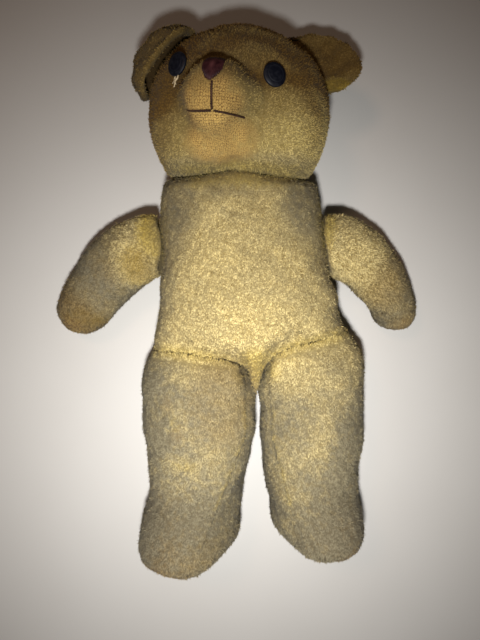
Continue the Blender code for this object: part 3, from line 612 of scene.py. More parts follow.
# Grime; the spots under the chin and at both shoulders are partly painted shade.
GRIME_AND_SHADE_SPOTS = [
    ((-0.0125, 0.078, 0.080), (0.085, 0.020, 0.050), 0.30),
    ((0.040, 0.062, 0.080), (0.034, 0.036, 0.045), 0.60),
    ((-0.060, 0.060, 0.070), (0.028, 0.050, 0.045), 0.45),
    ((-0.072, 0.000, 0.060), (0.020, 0.050, 0.050), 0.30),
    ((-0.120, 0.016, 0.020), (0.042, 0.048, 0.050), 0.72),
    (ARMS["right"]["paw"], (0.045, 0.050, 0.045), 0.35),
    (ARMS["left"]["paw"], (0.042, 0.060, 0.045), 0.55),
    ((0.072, -0.120, 0.060), (0.030, 0.070, 0.040), 0.35),
    ((-0.078, -0.085, 0.050), (0.040, 0.055, 0.045), 0.45),
]
BROWNED_AND_SHADED = [
    (ARMS["right"]["paw"], (0.050, 0.075, 0.050), 0.85),
    ((-0.122, 0.020, 0.020), (0.038, 0.052, 0.050), 0.68),
    ((-0.086, 0.022, 0.045), (0.020, 0.018, 0.030), 0.45),
    ((-0.045, 0.106, 0.095), (0.016, 0.018, 0.050), 0.48),
    # Painted shade in the muzzle's crease beside the mouth, not browning.
    ((-0.003, 0.103, 0.105), (0.012, 0.014, 0.040), 0.32),
    (ARMS["left"]["paw"], (0.038, 0.060, 0.045), 0.46),
    ((0.105, 0.010, 0.030), (0.030, 0.036, 0.030), 0.55),
    ((-0.062, 0.055, 0.070), (0.026, 0.050, 0.045), 0.22),
    ((-0.070, -0.190, 0.050), (0.070, 0.066, 0.060), 0.92),
    ((0.065, -0.185, 0.050), (0.056, 0.056, 0.060), 0.88),
    ((-0.076, -0.216, 0.030), (0.020, 0.014, 0.030), 1.00),
    ((-0.022, -0.078, 0.070), (0.040, 0.045, 0.040), 0.55),
]


CHIN_Y = 0.090
CREASE_WIDE, FOLD_WIDE = 0.0014, 0.0009
# Folds beside the hip crease: how far above it, and the seed of where each is broken.
HIP_FOLDS = ((0.0034, 93), (0.0066, 94), (0.0110, 95), (-0.0032, 96), (-0.0062, 97))
CROTCH, CROTCH_REACH, CROTCH_GATHER = [-0.011, -0.060, 0.064], [0.008, 0.012, 0.014], 0.0026


def fold_shade(points, normals):
    """Painted shade, with some dust: how dark the plush is coloured along the hip creases and the
    broken folds beside them, in the gathers at the crotch, under the chin and where a side turns
    under."""
    x, y, facing_up = points[..., 0], points[..., 1], normals[..., 2]
    off = y - hip_y(x) + 0.0006 * waves(points, 0.014, 91)
    broken = np.clip(0.5 + 0.7 * waves(points, 0.007, 92), 0, 1)
    deep = 0.62 * np.exp(-(off / CREASE_WIDE) ** 2) * broken
    for at, seed in HIP_FOLDS:
        broken = np.clip(waves(points * [0.6, 1, 1], 0.011, seed) + 0.15, 0, 1)
        deep = np.maximum(deep, 0.80 * broken * np.exp(-((off - at) / FOLD_WIDE) ** 2))
    away = np.linalg.norm((points - CROTCH) / CROTCH_REACH, axis=-1)
    gathers = 0.5 + 0.5 * np.cos((y + 0.45 * x) * 2 * math.pi / CROTCH_GATHER)
    deep = np.maximum(deep, 0.7 * gathers * (1 - eased_step(0.5, 1.1, away)) * (facing_up > 0))
    under = 0.45 * (1 - eased_step(0.0, 0.38, facing_up)) * eased_step(-0.6, -0.1, facing_up)
    under = under * (1 - 0.8 * eased_step(0.078, 0.088, y) * (1 - eased_step(0.10, 0.13, y)))
    return np.clip(np.maximum(deep, under), 0, 1)


def wear_and_shade_fields(points, normals):
    """Bald, unfaded, soiled and browned shares at points of the plush, and their painted shade."""
    x, y = points[..., 0], points[..., 1]
    on_hip = (1 - eased_step(0.001, 0.009, np.abs(y - hip_y(x)))) * (np.abs(x) < 0.08)
    patchy = 0.5 + 0.25 * waves(points, 0.016, 31) + 0.20 * waves(points, 0.006, 32)
    bald = spots(points, BALD) * np.clip(0.60 + 0.8 * patchy, 0, 1)
    unfaded = np.clip(np.maximum(spots(points, UNFADED), 0.45 * on_hip), 0, 1)
    # Faces turned away from facing up get more soil colour: painted shade, mixed in with the dirt.
    turned = 1 - eased_step(0.1, 0.85, normals[..., 2])
    feet, legs = eased_step(0.060, 0.17, -y), eased_step(0.035, 0.075, -y)
    soil = 0.22 * turned + 0.30 * feet + 0.46 * legs + 0.06 * waves(points, 0.045, 7)
    soil = np.clip(soil + 0.05 * waves(points, 0.014, 8) + 0.10, 0, 1) * (1 - 0.75 * unfaded)
    soil = np.clip(soil + spots(points, GRIME_AND_SHADE_SPOTS), 0, 1)
    above, beside = y - CHIN_Y, x - HEAD_CENTRE[0]
    brown = np.clip((above - 0.005) / 0.037, 0, 0.90)
    brown = brown + 0.62 * np.clip((-beside - 0.022) / 0.03, 0, 1)
    brown = brown + 0.15 * np.clip((beside - 0.020) / 0.02, 0, 1) * eased_step(0.03, 0.06, above)
    brown = np.clip(brown + 0.08 * waves(points, 0.02, 9), 0, 1)
    on_head = eased_step(-0.008, 0.002, above)
    brown = brown * on_head * (1 - 0.5 * unfaded) * (1 - 0.30 * bald)
    return {"bald": np.clip(bald, 0, 1), "unfaded": np.maximum(unfaded, 0.35 * on_head),
            "soil": soil * (1 - 0.75 * on_head),
            "browned": np.maximum(brown, spots(points, BROWNED_AND_SHADED)),
            "shade": fold_shade(points, normals)}


# ---- shader tools ----------------------------------------------------------------------------
def wire(tree, value, socket):
    """Link an output to a socket, or set the socket where value is a plain number or colour."""
    if isinstance(value, bpy.types.NodeSocket):
        tree.links.new(value, socket)
    else:
        socket.default_value = value


def maths(tree, operation, *values, clamp=False):
    """Sum, product or the like of values that may be sockets or numbers."""
    made = tree.nodes.new("ShaderNodeMath")
    made.operation = operation
    made.use_clamp = clamp
    for value, socket in zip(values, made.inputs):
        wire(tree, value, socket)
    return made.outputs[0]


def times(tree, *values):
    """Product of two values."""
    return maths(tree, "MULTIPLY", *values)


def mixed(tree, share, first, second, blend="MIX"):
    """Colour between two, by a share."""
    made = tree.nodes.new("ShaderNodeMix")
    made.data_type = "RGBA"
    made.blend_type = blend
    for value, place in ((share, 0), (first, 6), (second, 7)):
        wire(tree, value, made.inputs[place])
    return made.outputs[2]


def ranged(tree, value, low, high, to_low=0.0, to_high=1.0):
    """Value carried from one range to another and kept inside it."""
    made = tree.nodes.new("ShaderNodeMapRange")
    for number, place in ((value, 0), (low, 1), (high, 2), (to_low, 3), (to_high, 4)):
        wire(tree, number, made.inputs[place])
    return made.outputs[0]


def cloudy(tree, vector, scale, detail=2.0, rough=0.5):
    """Cloudy noise from 0 to 1, with its scale in clouds to a metre."""
    made = tree.nodes.new("ShaderNodeTexNoise")
    made.inputs["Scale"].default_value = scale
    made.inputs["Detail"].default_value = detail
    made.inputs["Roughness"].default_value = rough
    tree.links.new(vector, made.inputs["Vector"])
    return made.outputs["Fac"]


def attribute(tree, name):
    """A mesh's own values under a name."""
    made = tree.nodes.new("ShaderNodeAttribute")
    made.attribute_name = name
    return made.outputs["Fac"]


def plush_wear_and_shade(tree):
    """The wear and painted shade of a plush mesh, under the names of the plush colour's inputs."""
    labels = ("unfaded", "soil", "browned", "shade")
    return {label.title(): attribute(tree, label) for label in labels}


def own_place(tree):
    """Place on the object itself, in metres."""
    return tree.nodes.new("ShaderNodeTexCoord").outputs["Object"]


def new_group(name, inputs, outputs):
    """Empty node group with its named sockets, and its input and output nodes."""
    tree = bpy.data.node_groups.new(name, "ShaderNodeTree")
    for kind, sockets in (("INPUT", inputs), ("OUTPUT", outputs)):
        for label, shape in sockets:
            tree.interface.new_socket(label, in_out=kind, socket_type="NodeSocket" + shape)
    return tree, tree.nodes.new("NodeGroupInput").outputs, tree.nodes.new("NodeGroupOutput").inputs


def placed(tree, group, **values):
    """A group's node in a tree, with its inputs wired by name; _ in a name stands for a space."""
    made = tree.nodes.new("ShaderNodeGroup")
    made.node_tree = group
    for label, value in values.items():
        wire(tree, value, made.inputs[label.replace("_", " ")])
    return made.outputs


def new_finish(name, **constants):
    """Material with a Principled shader, whose constants are set on its own sockets."""
    made = bpy.data.materials.new(name)
    made.use_nodes = True
    shader = made.node_tree.nodes["Principled BSDF"]
    for label, value in constants.items():
        shader.inputs[label.replace("_", " ")].default_value = value
    return made, made.node_tree, shader


def bumped(tree, shader, height, strength, distance):
    """Shader whose surface rises and falls with a height from 0 to 1, by a distance in metres."""
    made = tree.nodes.new("ShaderNodeBump")
    made.inputs["Strength"].default_value = strength
    made.inputs["Distance"].default_value = distance
    tree.links.new(height, made.inputs["Height"])
    tree.links.new(made.outputs[0], shader.inputs["Normal"])


# ---- finishes --------------------------------------------------------------------------------
KHAKI, PALE = (0.27, 0.188, 0.054, 1), (0.92, 0.765, 0.365, 1)
YELLOW, GRIME = (0.62, 0.45, 0.060, 1), (0.205, 0.185, 0.125, 1)
BROWN, ROOT_SHADE = (0.27, 0.195, 0.115, 1), (0.026, 0.013, 0.003, 1)
BACKING, BACKING_DARK_AND_SHADE = (0.60, 0.395, 0.120, 1), (0.13, 0.062, 0.014, 1)
# The nose's worn maroon is also the colour of its painted highlight.
MAROON, HIGHLIGHT_AND_WORN_MAROON = (0.020, 0.0035, 0.0060, 1), (0.105, 0.035, 0.038, 1)
DARK_THREAD, FADED_THREAD = (0.024, 0.011, 0.007, 1), (0.15, 0.075, 0.045, 1)
NAVY, SCUFF = (0.0020, 0.0028, 0.0080, 1), (0.026, 0.030, 0.044, 1)
CREAM, CREAM_DIRT = (0.72, 0.60, 0.40, 1), (0.32, 0.24, 0.13, 1)
BACKING_STAIN = (0.20, 0.125, 0.085, 1)
STEEL, STEEL_BLOTCH = (0.50, 0.50, 0.50, 1), (0.22, 0.21, 0.20, 1)
FLOOR_PALE, FLOOR_DULL = (0.625, 0.62, 0.61, 1), (0.575, 0.565, 0.55, 1)


def make_plush_colour():
    """Colour of plush: khaki wool with pale tufts, yellow where it is unfaded, brown where it has
    aged and grey where it is dirty, in patches of two sizes, and painted shade at its roots
    and in its creases."""
    tree, given, out = new_group(
        "plush_colour",
        [("Place", "Vector"), ("Along", "Float"), ("Hair", "Float"), ("Unfaded", "Float"),
         ("Soil", "Float"), ("Browned", "Float"), ("Shade", "Float")],
        [("Color", "Color")])
    wide = cloudy(tree, given["Place"], 30.0, 3.0)
    near = cloudy(tree, given["Place"], 260.0, 2.0)
    light = maths(tree, "ADD", times(tree, given["Hair"], 0.95), times(tree, near, 0.35))
    wool = mixed(tree, ranged(tree, light, 0.28, 0.98), KHAKI, PALE)
    wool = mixed(tree, times(tree, given["Unfaded"], 0.8), wool, YELLOW)
    wool = mixed(tree, given["Browned"], wool, BROWN, "MULTIPLY")
    dirty = times(tree, given["Soil"], ranged(tree, wide, 0.3, 0.65, 0.75, 1.2))
    dirty = times(tree, dirty, ranged(tree, near, 0.32, 0.62, 0.75, 1.15))
    wool = mixed(tree, maths(tree, "MINIMUM", dirty, 0.92), wool, GRIME)
    # Painted shade: towards a blade's foot, and where Shade is high, the wool goes near-black
    # brown.
    deep = ranged(tree, given["Along"], 0.0, 0.75, 0.92, 0.0)
    deep = maths(tree, "MAXIMUM", deep, times(tree, given["Shade"], 0.94))
    tree.links.new(mixed(tree, deep, wool, ROOT_SHADE), out["Color"])
    return tree


def make_knit():
    """Knitted loops on a map counted in stitches: a column is a run of V shapes, whose two arms
    lean to its middle. Height is 1 on a loop's back and low between loops and between columns,
    where matted yarn fills them in unevenly."""
    tree, given, out = new_group("knit", [("Stitches", "Vector")], [("Height", "Float")])
    drift = tree.nodes.new("ShaderNodeTexNoise")
    drift.inputs["Scale"].default_value = 0.8
    tree.links.new(given["Stitches"], drift.inputs["Vector"])
    moved = mixed(tree, 0.85, given["Stitches"], drift.outputs["Color"], "LINEAR_LIGHT")
    split = tree.nodes.new("ShaderNodeSeparateXYZ")
    tree.links.new(moved, split.inputs[0])
    column = maths(tree, "SUBTRACT", maths(tree, "FRACT", split.outputs["X"]), 0.5)
    away = times(tree, maths(tree, "ABSOLUTE", column), 2.0)
    slanted = maths(tree, "ADD", split.outputs["Y"], times(tree, away, 0.5))
    row = maths(tree, "FRACT", slanted)
    arm = ranged(tree, away, 0.6, 1.0, 1.0, 0.15)
    loop = maths(tree, "SINE", times(tree, row, math.pi))
    loop = ranged(tree, loop, 0.0, 0.7, 0.15, 1.0)
    uneven = ranged(tree, cloudy(tree, given["Stitches"], 1.7, 1.0), 0.35, 0.65, 0.0, 0.8)
    tree.links.new(maths(tree, "MAXIMUM", times(tree, arm, loop), uneven), out["Height"])
    return tree


def make_skin_finish(plush_colour, knit):
    """Cloth under the pile: felted wool, and knitted backing where the pile is worn away."""
    made, tree, shader = new_finish("plush_skin", Roughness=0.95, Sheen_Weight=0.04,
                                    Sheen_Roughness=0.6, Specular_IOR_Level=0.2)
    place = own_place(tree)
    # Painted shade: Along at 0.30 darkens the felt under the pile, as in the gaps between tufts.
    wool = placed(tree, plush_colour, Place=place, Along=0.30, Hair=cloudy(tree, place, 900.0),
                  **plush_wear_and_shade(tree))["Color"]
    chart = tree.nodes.new("ShaderNodeUVMap")
    chart.uv_map = "Stitches"
    loops = placed(tree, knit, Stitches=chart.outputs[0])["Height"]
    fuzz = times(tree, cloudy(tree, place, 1100.0, 3.0), 1.3)
    worn = maths(tree, "SUBTRACT", maths(tree, "ADD", loops, fuzz), 0.65)
    # Painted shade: the bald backing is painted dark brown between its knitted loops.
    backing = mixed(tree, ranged(tree, worn, 0.10, 0.80), BACKING_DARK_AND_SHADE, BACKING)
    backing = mixed(tree, attribute(tree, "browned"), backing, BACKING_STAIN, "MULTIPLY")
    patches = ranged(tree, cloudy(tree, place, 240.0), 0.3, 0.7)
    dirty = times(tree, attribute(tree, "soil"), patches)
    backing = mixed(tree, times(tree, dirty, 0.6), backing, GRIME)
    bald = attribute(tree, "bald")
    colour = mixed(tree, ranged(tree, bald, 0.05, 0.75), wool, backing)
    wire(tree, colour, shader.inputs["Base Color"])
    felt = cloudy(tree, place, 1500.0, 3.0)
    height = maths(tree, "ADD", times(tree, loops, bald), times(tree, felt, 0.6))
    bumped(tree, shader, height, 0.9, 0.0005)
    return made


def make_pile_finish(plush_colour):
    """Short wool blades, tan like the backing where the plush is bald."""
    made, tree, shader = new_finish("plush_pile", Roughness=0.9, Sheen_Weight=0.06,
                                    Sheen_Roughness=0.5, Specular_IOR_Level=0.2)
    hair = attribute(tree, "hair")
    wool = placed(tree, plush_colour, Place=own_place(tree), Along=attribute(tree, "along"),
                  Hair=hair, **plush_wear_and_shade(tree))["Color"]
    # Here the dark backing colour is only the darker end of the stubble's own tone.
    tan = mixed(tree, hair, BACKING_DARK_AND_SHADE, BACKING)
    colour = mixed(tree, times(tree, attribute(tree, "bald"), 0.6), wool, tan)
    wire(tree, colour, shader.inputs["Base Color"])
    return made


def make_thread_finish(name, dark, faded, shine):
    """Twisted thread, dark where it is sound and faded where it has been rubbed; on the nose the
    faded share also paints a highlight.
    """
    made, tree, shader = new_finish(name, Roughness=0.6, Specular_IOR_Level=0.25)
    place = own_place(tree)
    rubbed = ranged(tree, cloudy(tree, place, 260.0, 3.0), 0.42, 0.66)
    rubbed = times(tree, rubbed, 0.4)
    worn = maths(tree, "MAXIMUM", attribute(tree, "faded"), rubbed, clamp=True)
    wire(tree, mixed(tree, worn, dark, faded), shader.inputs["Base Color"])
    fibres = cloudy(tree, place, 3800.0, 2.0)
    wire(tree, ranged(tree, fibres, 0.3, 0.7, shine, shine + 0.3), shader.inputs["Roughness"])
    bumped(tree, shader, fibres, 0.5, 0.0001)
    return made


def make_button_finish():
    """Dull blue-black button, scuffed over its dome and round its edge, partly a painted highlight.
    """
    made, tree, shader = new_finish("button", Roughness=0.45, IOR=1.5, Specular_IOR_Level=0.3)
    place = own_place(tree)
    smears = ranged(tree, cloudy(tree, place, 420.0, 4.0, 0.6), 0.45, 0.75)
    scuffs = maths(tree, "MAXIMUM", times(tree, smears, 0.35), attribute(tree, "rubbed"))
    wire(tree, mixed(tree, scuffs, NAVY, SCUFF), shader.inputs["Base Color"])
    wire(tree, ranged(tree, smears, 0.0, 1.0, 0.5, 0.75), shader.inputs["Roughness"])
    bumped(tree, shader, cloudy(tree, place, 1400.0, 3.0), 0.25, 0.0001)
    return made


def make_washer_finish():
    """Dull steel with darker blotches."""
    made, tree, shader = new_finish("washer_steel", Metallic=1.0)
    blotch = cloudy(tree, own_place(tree), 500.0, 3.0)
    wire(tree, mixed(tree, blotch, STEEL_BLOTCH, STEEL), shader.inputs["Base Color"])
    wire(tree, ranged(tree, blotch, 0.3, 0.7, 0.35, 0.6), shader.inputs["Roughness"])
    return made


def make_floor_finish():
    """Pale floor with a faint mottle."""
    made, tree, shader = new_finish("pale_floor", Roughness=0.7)
    mottle = cloudy(tree, own_place(tree), 9.0, 3.0)
    wire(tree, mixed(tree, mottle, FLOOR_DULL, FLOOR_PALE), shader.inputs["Base Color"])
    return made


# ---- skins and pile --------------------------------------------------------------------------
def make_skin(name, rows, stitches, finish, fill, replaced, shade=0, unfaded=0, browned=1):
    """Closed stuffed skin through rings of points, with its bake map, its map counted in stitches
    and its wear, as a piece. Returns what its pile needs."""
    count, columns = rows.shape[:2]
    normals = grid_normals(rows)
    k = count // 2
    across, along = rows[k, 1] - rows[k, 0], rows[k + 1, 0] - rows[k, 0]
    flip = (np.cross(across, along) * normals[k, 0]).sum() < 0
    mesh = fill_mesh(name, with_ends(rows), *closed_faces(count, columns, flip))
    # The wear fields also hold the painted shade of creases, folds and grooves.
    wear = wear_and_shade_fields(rows, normals)
    wear["shade"] = np.maximum(wear["shade"], shade)
    wear["unfaded"] = np.maximum(wear["unfaded"], unfaded)
    wear["browned"] = wear["browned"] * browned
    for label, values in wear.items():
        set_value(mesh, label, np.concatenate([values.ravel(), values[0, :1], values[-1, :1]]))
    set_map(mesh, "OFBake", chart_corners(count, columns, flip))
    set_map(mesh, "Stitches", stitch_corners(stitches, count, columns, flip))
    piece = add_piece(name, mesh, finish, "plush", *replaced)
    return dict(rows=rows, normals=normals, wear=wear)


def corner_places(count, columns, flip):
    """Row and column of each face corner, in the order that closed_faces gives the faces."""
    i, j = np.meshgrid(np.arange(count - 1), np.arange(columns), indexing="ij")
    places = np.stack([np.stack([i, i, i + 1, i + 1], -1), np.stack([j, j + 1, j + 1, j], -1)], -1)
    places = places.reshape(-1, 4, 2)
    places = places[:, ::-1] if flip else places
    j = np.arange(columns)
    fans = []
    for row, turned in ((0, not flip), (count - 1, flip)):
        edge = np.stack([np.stack([j * 0 + row, j], -1), np.stack([j * 0 + row, j + 1], -1)], 1)
        edge = edge[:, ::-1] if turned else edge
        beyond = -1 if row == 0 else count
        tip = np.stack([j * 0 + beyond, j + 0.5], -1)[:, None]
        fans.append(np.concatenate([tip, edge], 1))
    return np.concatenate([places.reshape(-1, 2), *(fan.reshape(-1, 2) for fan in fans)])


def chart_corners(count, columns, flip):
    """Bake map: columns across and rows up, over the whole square."""
    places = corner_places(count, columns, flip)
    return np.stack([places[:, 1] / columns, (places[:, 0] + 1) / (count + 1)], -1)


def stitch_corners(stitches, count, columns, flip):
    """Map counted in stitches, from arrays of one more column than the skin has."""
    places = corner_places(count, columns, flip)
    i = np.clip(places[:, 0], 0, count - 1).astype(int)
    j = np.clip(places[:, 1], 0, columns).astype(int)
    return np.stack([stitches[0][i, j], stitches[1][i, j]], -1)


def sample(grid, i, j, a, b):
    """Grid values between four neighbouring points, at shares a down and b across."""
    across = (j + 1) % grid.shape[1]
    if grid.ndim == 3:
        a, b = a[:, None], b[:, None]
    upper = grid[i, j] * (1 - b) + grid[i, across] * b
    lower = grid[i + 1, j] * (1 - b) + grid[i + 1, across] * b
    return upper * (1 - a) + lower * a


def tuft_seats(rows, pitch, rng):
    """Jittered net of seats on a skin, as rows and columns in its grid: lines of seats one pitch
    apart along the skin, each with as many seats as fit round its ring at that pitch."""
    count, columns = rows.shape[:2]
    steps = gaps(rows).mean(1)
    run = run_along(steps)
    closed = np.concatenate([rows, rows[:, :1]], 1)
    seats = []
    for at in np.interp(np.arange(pitch / 2, run[-1], pitch), run, np.arange(count)):
        i = min(int(at), count - 2)
        ring = closed[i] + (closed[i + 1] - closed[i]) * (at - i)
        around = run_along(gaps(ring))
        number = max(int(around[-1] / pitch), 3)
        spread = rng.normal(0, 0.24, (2, number))
        turn = (np.arange(number) + rng.uniform() + spread[0]) % number / number * around[-1]
        seats.append(np.stack([at + spread[1] * pitch / max(steps[i], pitch / 8),
                               np.interp(turn, around, np.arange(columns + 1))]))
    seats = np.concatenate(seats, 1)
    return np.clip(seats[0], 0, count - 1.001), seats[1] % columns


def grow_tufts(skin, nap, keep, coat, seed, rng):
    """Seats of a coat's tufts with their up and lean directions, their length, their place on the
    bake map and their wear and colour. A tuft leans with the nap and a random swirl. Tufts are
    fewer and shorter where the plush is bald, and fewer where it faces down."""
    rows, normals, wear = skin["rows"], skin["normals"], skin["wear"]
    row, column = tuft_seats(rows, coat["pitch"], rng)
    i, j = row.astype(int), column.astype(int)
    a, b = row - i, column - j
    underneath = normals[..., 2] < UNDERSIDE
    growth = (1 - 0.80 * wear["bald"]) * np.where(underneath, UNDERSIDE_SHARE, 1.0) * keep
    grown = rng.uniform(0, 1, len(row)) < sample(growth, i, j, a, b)
    i, j, a, b = i[grown], j[grown], a[grown], b[grown]
    seat, up, lean = (sample(grid, i, j, a, b) for grid in (rows, normals, nap))
    up = unit(up)
    lean = unit(lean) + 0.5 * wave_slope(seat, DRIFT_PITCH, seed + 5)
    lean = lean + rng.normal(0, coat["swirl"], seat.shape)
    lean = unit(lean - up * (lean * up).sum(-1, keepdims=True))
    values = {label: sample(wear[label], i, j, a, b) for label in wear}
    values["hair"] = 0.5 + (rng.uniform(0, 1, len(seat)) - 0.5) * coat["vary"]
    tall = coat["length"] * rng.uniform(0.7, 1.25, len(seat)) * (1 - 0.55 * values["bald"])
    tall = tall * (1 - 0.20 * values["shade"])
    spot = np.stack([(j + b) / rows.shape[1], (i + a + 1) / (rows.shape[0] + 1)], -1)
    return (seat, up, lean, tall, spot), values


def grow_pile(part, skin, nap, finish, keep=1.0):
    """Coat of tufts on the skin of a part. A tuft is a few blades from one seat, which share its
    colour and lean, spread a little outwards and bend over towards their tips. A blade is a kite:
    a foot in the cloth, two sides at its middle and a tip."""
    coat, seed = COATS[part.split("_")[0]], SEEDS[part]
    rng = np.random.default_rng(seed)
    tufts, values = grow_tufts(skin, nap, keep, coat, seed, rng)
    seat, up, lean, tall, spot = (np.repeat(array, coat["each"], 0) for array in tufts)
    values = {label: np.repeat(array, coat["each"]) for label, array in values.items()}
    count = len(seat)
    own_hair = 0.5 + (rng.uniform(0, 1, count) - 0.5) * coat["vary"]
    values["hair"] = 0.30 * values["hair"] + 0.70 * own_hair
    deep = 2 * np.clip(values["shade"] - 0.6, 0, 1)
    values["shade"] = np.clip(values["shade"] * rng.uniform(0.4, 1.5, count) + deep, 0, 1)
    turn, out = rng.uniform(0, 2 * math.pi, count), np.sqrt(rng.uniform(0, 1, count))
    across = np.cross(up, lean)
    outward = lean * np.cos(turn)[:, None] + across * np.sin(turn)[:, None]
    foot = seat + outward * (out * TUFT_SPREAD * coat["pitch"])[:, None] - up * PILE_LOW
    own = unit(lean + TUFT_OPEN * outward * out[:, None] + across * rng.normal(0, 0.3, (count, 1)))
    upright = (1 - coat["lie"]) * rng.uniform(0.7, 1.5, count)
    upright = upright + 0.7 * (rng.uniform(0, 1, count) < UPRIGHT)
    way = unit(own * coat["lie"] + up * upright[:, None])
    reach = (tall * rng.uniform(0.75, 1.15, count))[:, None]
    middle = foot + way * reach * 0.5
    bend = own * (0.75 - 0.5 * np.clip(upright[:, None], 0, 1))
    tip = middle + unit(way + bend + rng.normal(0, 0.28, (count, 3))) * reach * 0.5
    side = unit(np.cross(up, own)) * coat["wide"] * rng.uniform(0.35, 0.65, (count, 1))
    points = np.stack([foot, middle - side, tip, middle + side], 1)
    points[..., 2] = np.maximum(points[..., 2], PILE_REST)
    name = part.replace("_", "_pile_") if "_" in part else part + "_pile"
    mesh = fill_mesh(name, points.reshape(-1, 3), np.arange(count * 4).reshape(-1, 4))
    set_value(mesh, "along", np.tile(BLADE, count))
    for label, array in values.items():
        set_value(mesh, label, np.repeat(array, 4))
    square = np.array([[0, 0], [1, 0], [1, 1], [0, 1]]) * BAKE_CELL
    set_map(mesh, "OFBake", (spot[:, None] * BAKE_FIT + square).reshape(-1, 2))
    add_piece(name, mesh, finish, "plush")


def limb_stitches(rows, loops):
    """Stitch counts round and along a limb, from the mean steps between its rings."""
    along = run_along(gaps(rows).mean(1)) / KNIT_PITCH
    around = np.linspace(0, loops, rows.shape[1] + 1)
    return np.broadcast_arrays(around, along[:, None])


def make_limb_skin(kind, which, rows, finish, **wear):
    """Skin of an arm, a leg or an ear, in place of its panels and any stuffing of its own."""
    replaced = [f"{kind}_front_{which}", f"{kind}_back_{which}"]
    if kind != "ear":
        replaced.append(f"stuffing_{kind}_{which}")
    stitches = limb_stitches(rows, LOOPS[kind])
    return make_skin(f"{kind}_plush_{which}", rows, stitches, finish, FILL[kind], replaced, **wear)


# ---- head ------------------------------------------------------------------------------------
HEAD_RINGS, HEAD_COLUMNS, HEAD_POLE = 112, 208, 0.014
CHEEKS = ((0.36, -0.20), (-0.36, -0.20))
EYE_HOLLOW, EYE_HOLLOW_WIDE = 0.0010, 0.0085
CHIN_PUCKER, CHIN_PUCKER_DEEP, CHIN_PUCKER_WIDE = (0.217, -1.468), 0.0016, 0.0055


def head_rows():
    """Rings of the head from its right side to its left, with the seams of the gusset, the valley
    round the muzzle, full cheeks, hollows at the eyes and stitches, and the hanging jowls."""
    polar = np.linspace(HEAD_POLE, math.pi - HEAD_POLE, HEAD_RINGS)[:, None]
    around = turns(HEAD_COLUMNS)[None, :]
    rows = head_point(polar, around)
    normals = grid_normals(rows)
    degrees = np.degrees(around)
    half = np.radians(eased(GUSSET_AT, GUSSET_HALF, degrees))
    on_gusset = (degrees > GUSSET_AT[0]) & (degrees < GUSSET_AT[-1])
    away = np.abs(polar - math.pi / 2)
    away = np.where(on_gusset, np.abs(away - half), away)
    relief = -valley(away * HEAD_HALF[2], 0.0007)
    side, rise, ahead = face_slopes(rows)
    relief = relief - 0.0012 * muzzle_crease(side, rise, ahead, 0.13)
    for s, r in CHEEKS:
        cheek = ((side - s) / 0.12) ** 2 + ((rise - r) / 0.16) ** 2
        relief = relief + 0.0042 * np.exp(-cheek) * (ahead > 0)
    for s, r in EYES.values():
        away = np.hypot(side - s, rise - r) * HEAD_HALF[2]
        relief = relief - np.where(ahead > 0.01, valley(away, EYE_HOLLOW, EYE_HOLLOW_WIDE), 0)
    for first, last, sag, _ in STITCHES.values():
        away = line_distance(side, rise, first, last, sag) * (HEAD_HALF[2] + MUZZLE_REACH)
        relief = relief - np.where(ahead > 0.01, valley(away, 0.0006, 0.0014), 0)
    pucker = np.linalg.norm(rows - face_point(*CHIN_PUCKER), axis=-1)
    relief = relief - valley(pucker, CHIN_PUCKER_DEEP, CHIN_PUCKER_WIDE)
    relief = relief + 0.0004 * waves(rows, 0.030, 41) + 0.00010 * waves(rows, 0.009, 42)
    rows = raised(rows, normals, relief)
    rows[..., 1] -= jowl_drop(rows[..., 0]) * (1 - eased_step(CHIN_Y, 0.116, rows[..., 1]))
    return rows


def jowl_drop(x):
    """How far the head's lower edge hangs down at either side of the chin, over the body."""
    off = x - HEAD_CENTRE[0]
    return 0.0066 * eased_step(0.002, 0.054, off) + 0.0050 * eased_step(0.006, 0.056, -off)


def muzzle_crease(side, rise, ahead, wide):
    """The soft valley round the top and sides of the muzzle."""
    ring = np.sqrt(((side + 0.01) / (0.46 + 0.03 * (side > 0))) ** 2 + ((rise + 0.30) / 0.48) ** 2)
    return np.exp(-((ring - 1.0) / wide) ** 2) * eased_step(-0.72, -0.30, rise) * (ahead > 0)


def line_distance(side, rise, first, last, sag):
    """Distance, in slopes, from a stitch's sagging line between two places on the face."""
    run, climb = last[0] - first[0], last[1] - first[1]
    part = ((side - first[0]) * run + (rise - first[1]) * climb) / (run ** 2 + climb ** 2)
    part = np.clip(part, 0, 1)
    here = first[1] + climb * part - sag * np.sin(math.pi * part)
    return np.hypot(side - first[0] - run * part, rise - here)


def make_head(skin_finish, pile_finish):
    """The head's skin and pile, whose nap runs out from the nose and up over the crown."""
    rows = head_rows()
    across, over = np.meshgrid(np.linspace(-0.5, 0.5, rows.shape[0]) * LOOPS["head"] / 2,
                               np.linspace(0, LOOPS["head"], rows.shape[1] + 1), indexing="ij")
    # Painted shade: dark grooves along the ear roots, in the chin pucker and round the muzzle.
    shade = np.maximum(root_shade(rows, "right", 0.0042), root_shade(rows, "left", 0.0030))
    pucker = np.linalg.norm((rows - face_point(0.13, -1.20)) / [0.008, 0.0035, 0.01], axis=-1)
    shade = np.maximum(shade, 0.5 * np.exp(-pucker ** 2))
    shade = np.maximum(shade, 0.44 * muzzle_crease(*face_slopes(rows), 0.085))
    skin = make_skin("head_plush", rows, (across, over), skin_finish, FILL["head"],
                     ("head_side_left", "head_side_right", "head_gusset", "stuffing_head"), shade)
    nap = unit(rows - face_point(NOSE_SIDE, NOSE_RISE)) + face_axes()[:, 1] * 0.5
    grow_pile("head", skin, nap, pile_finish)


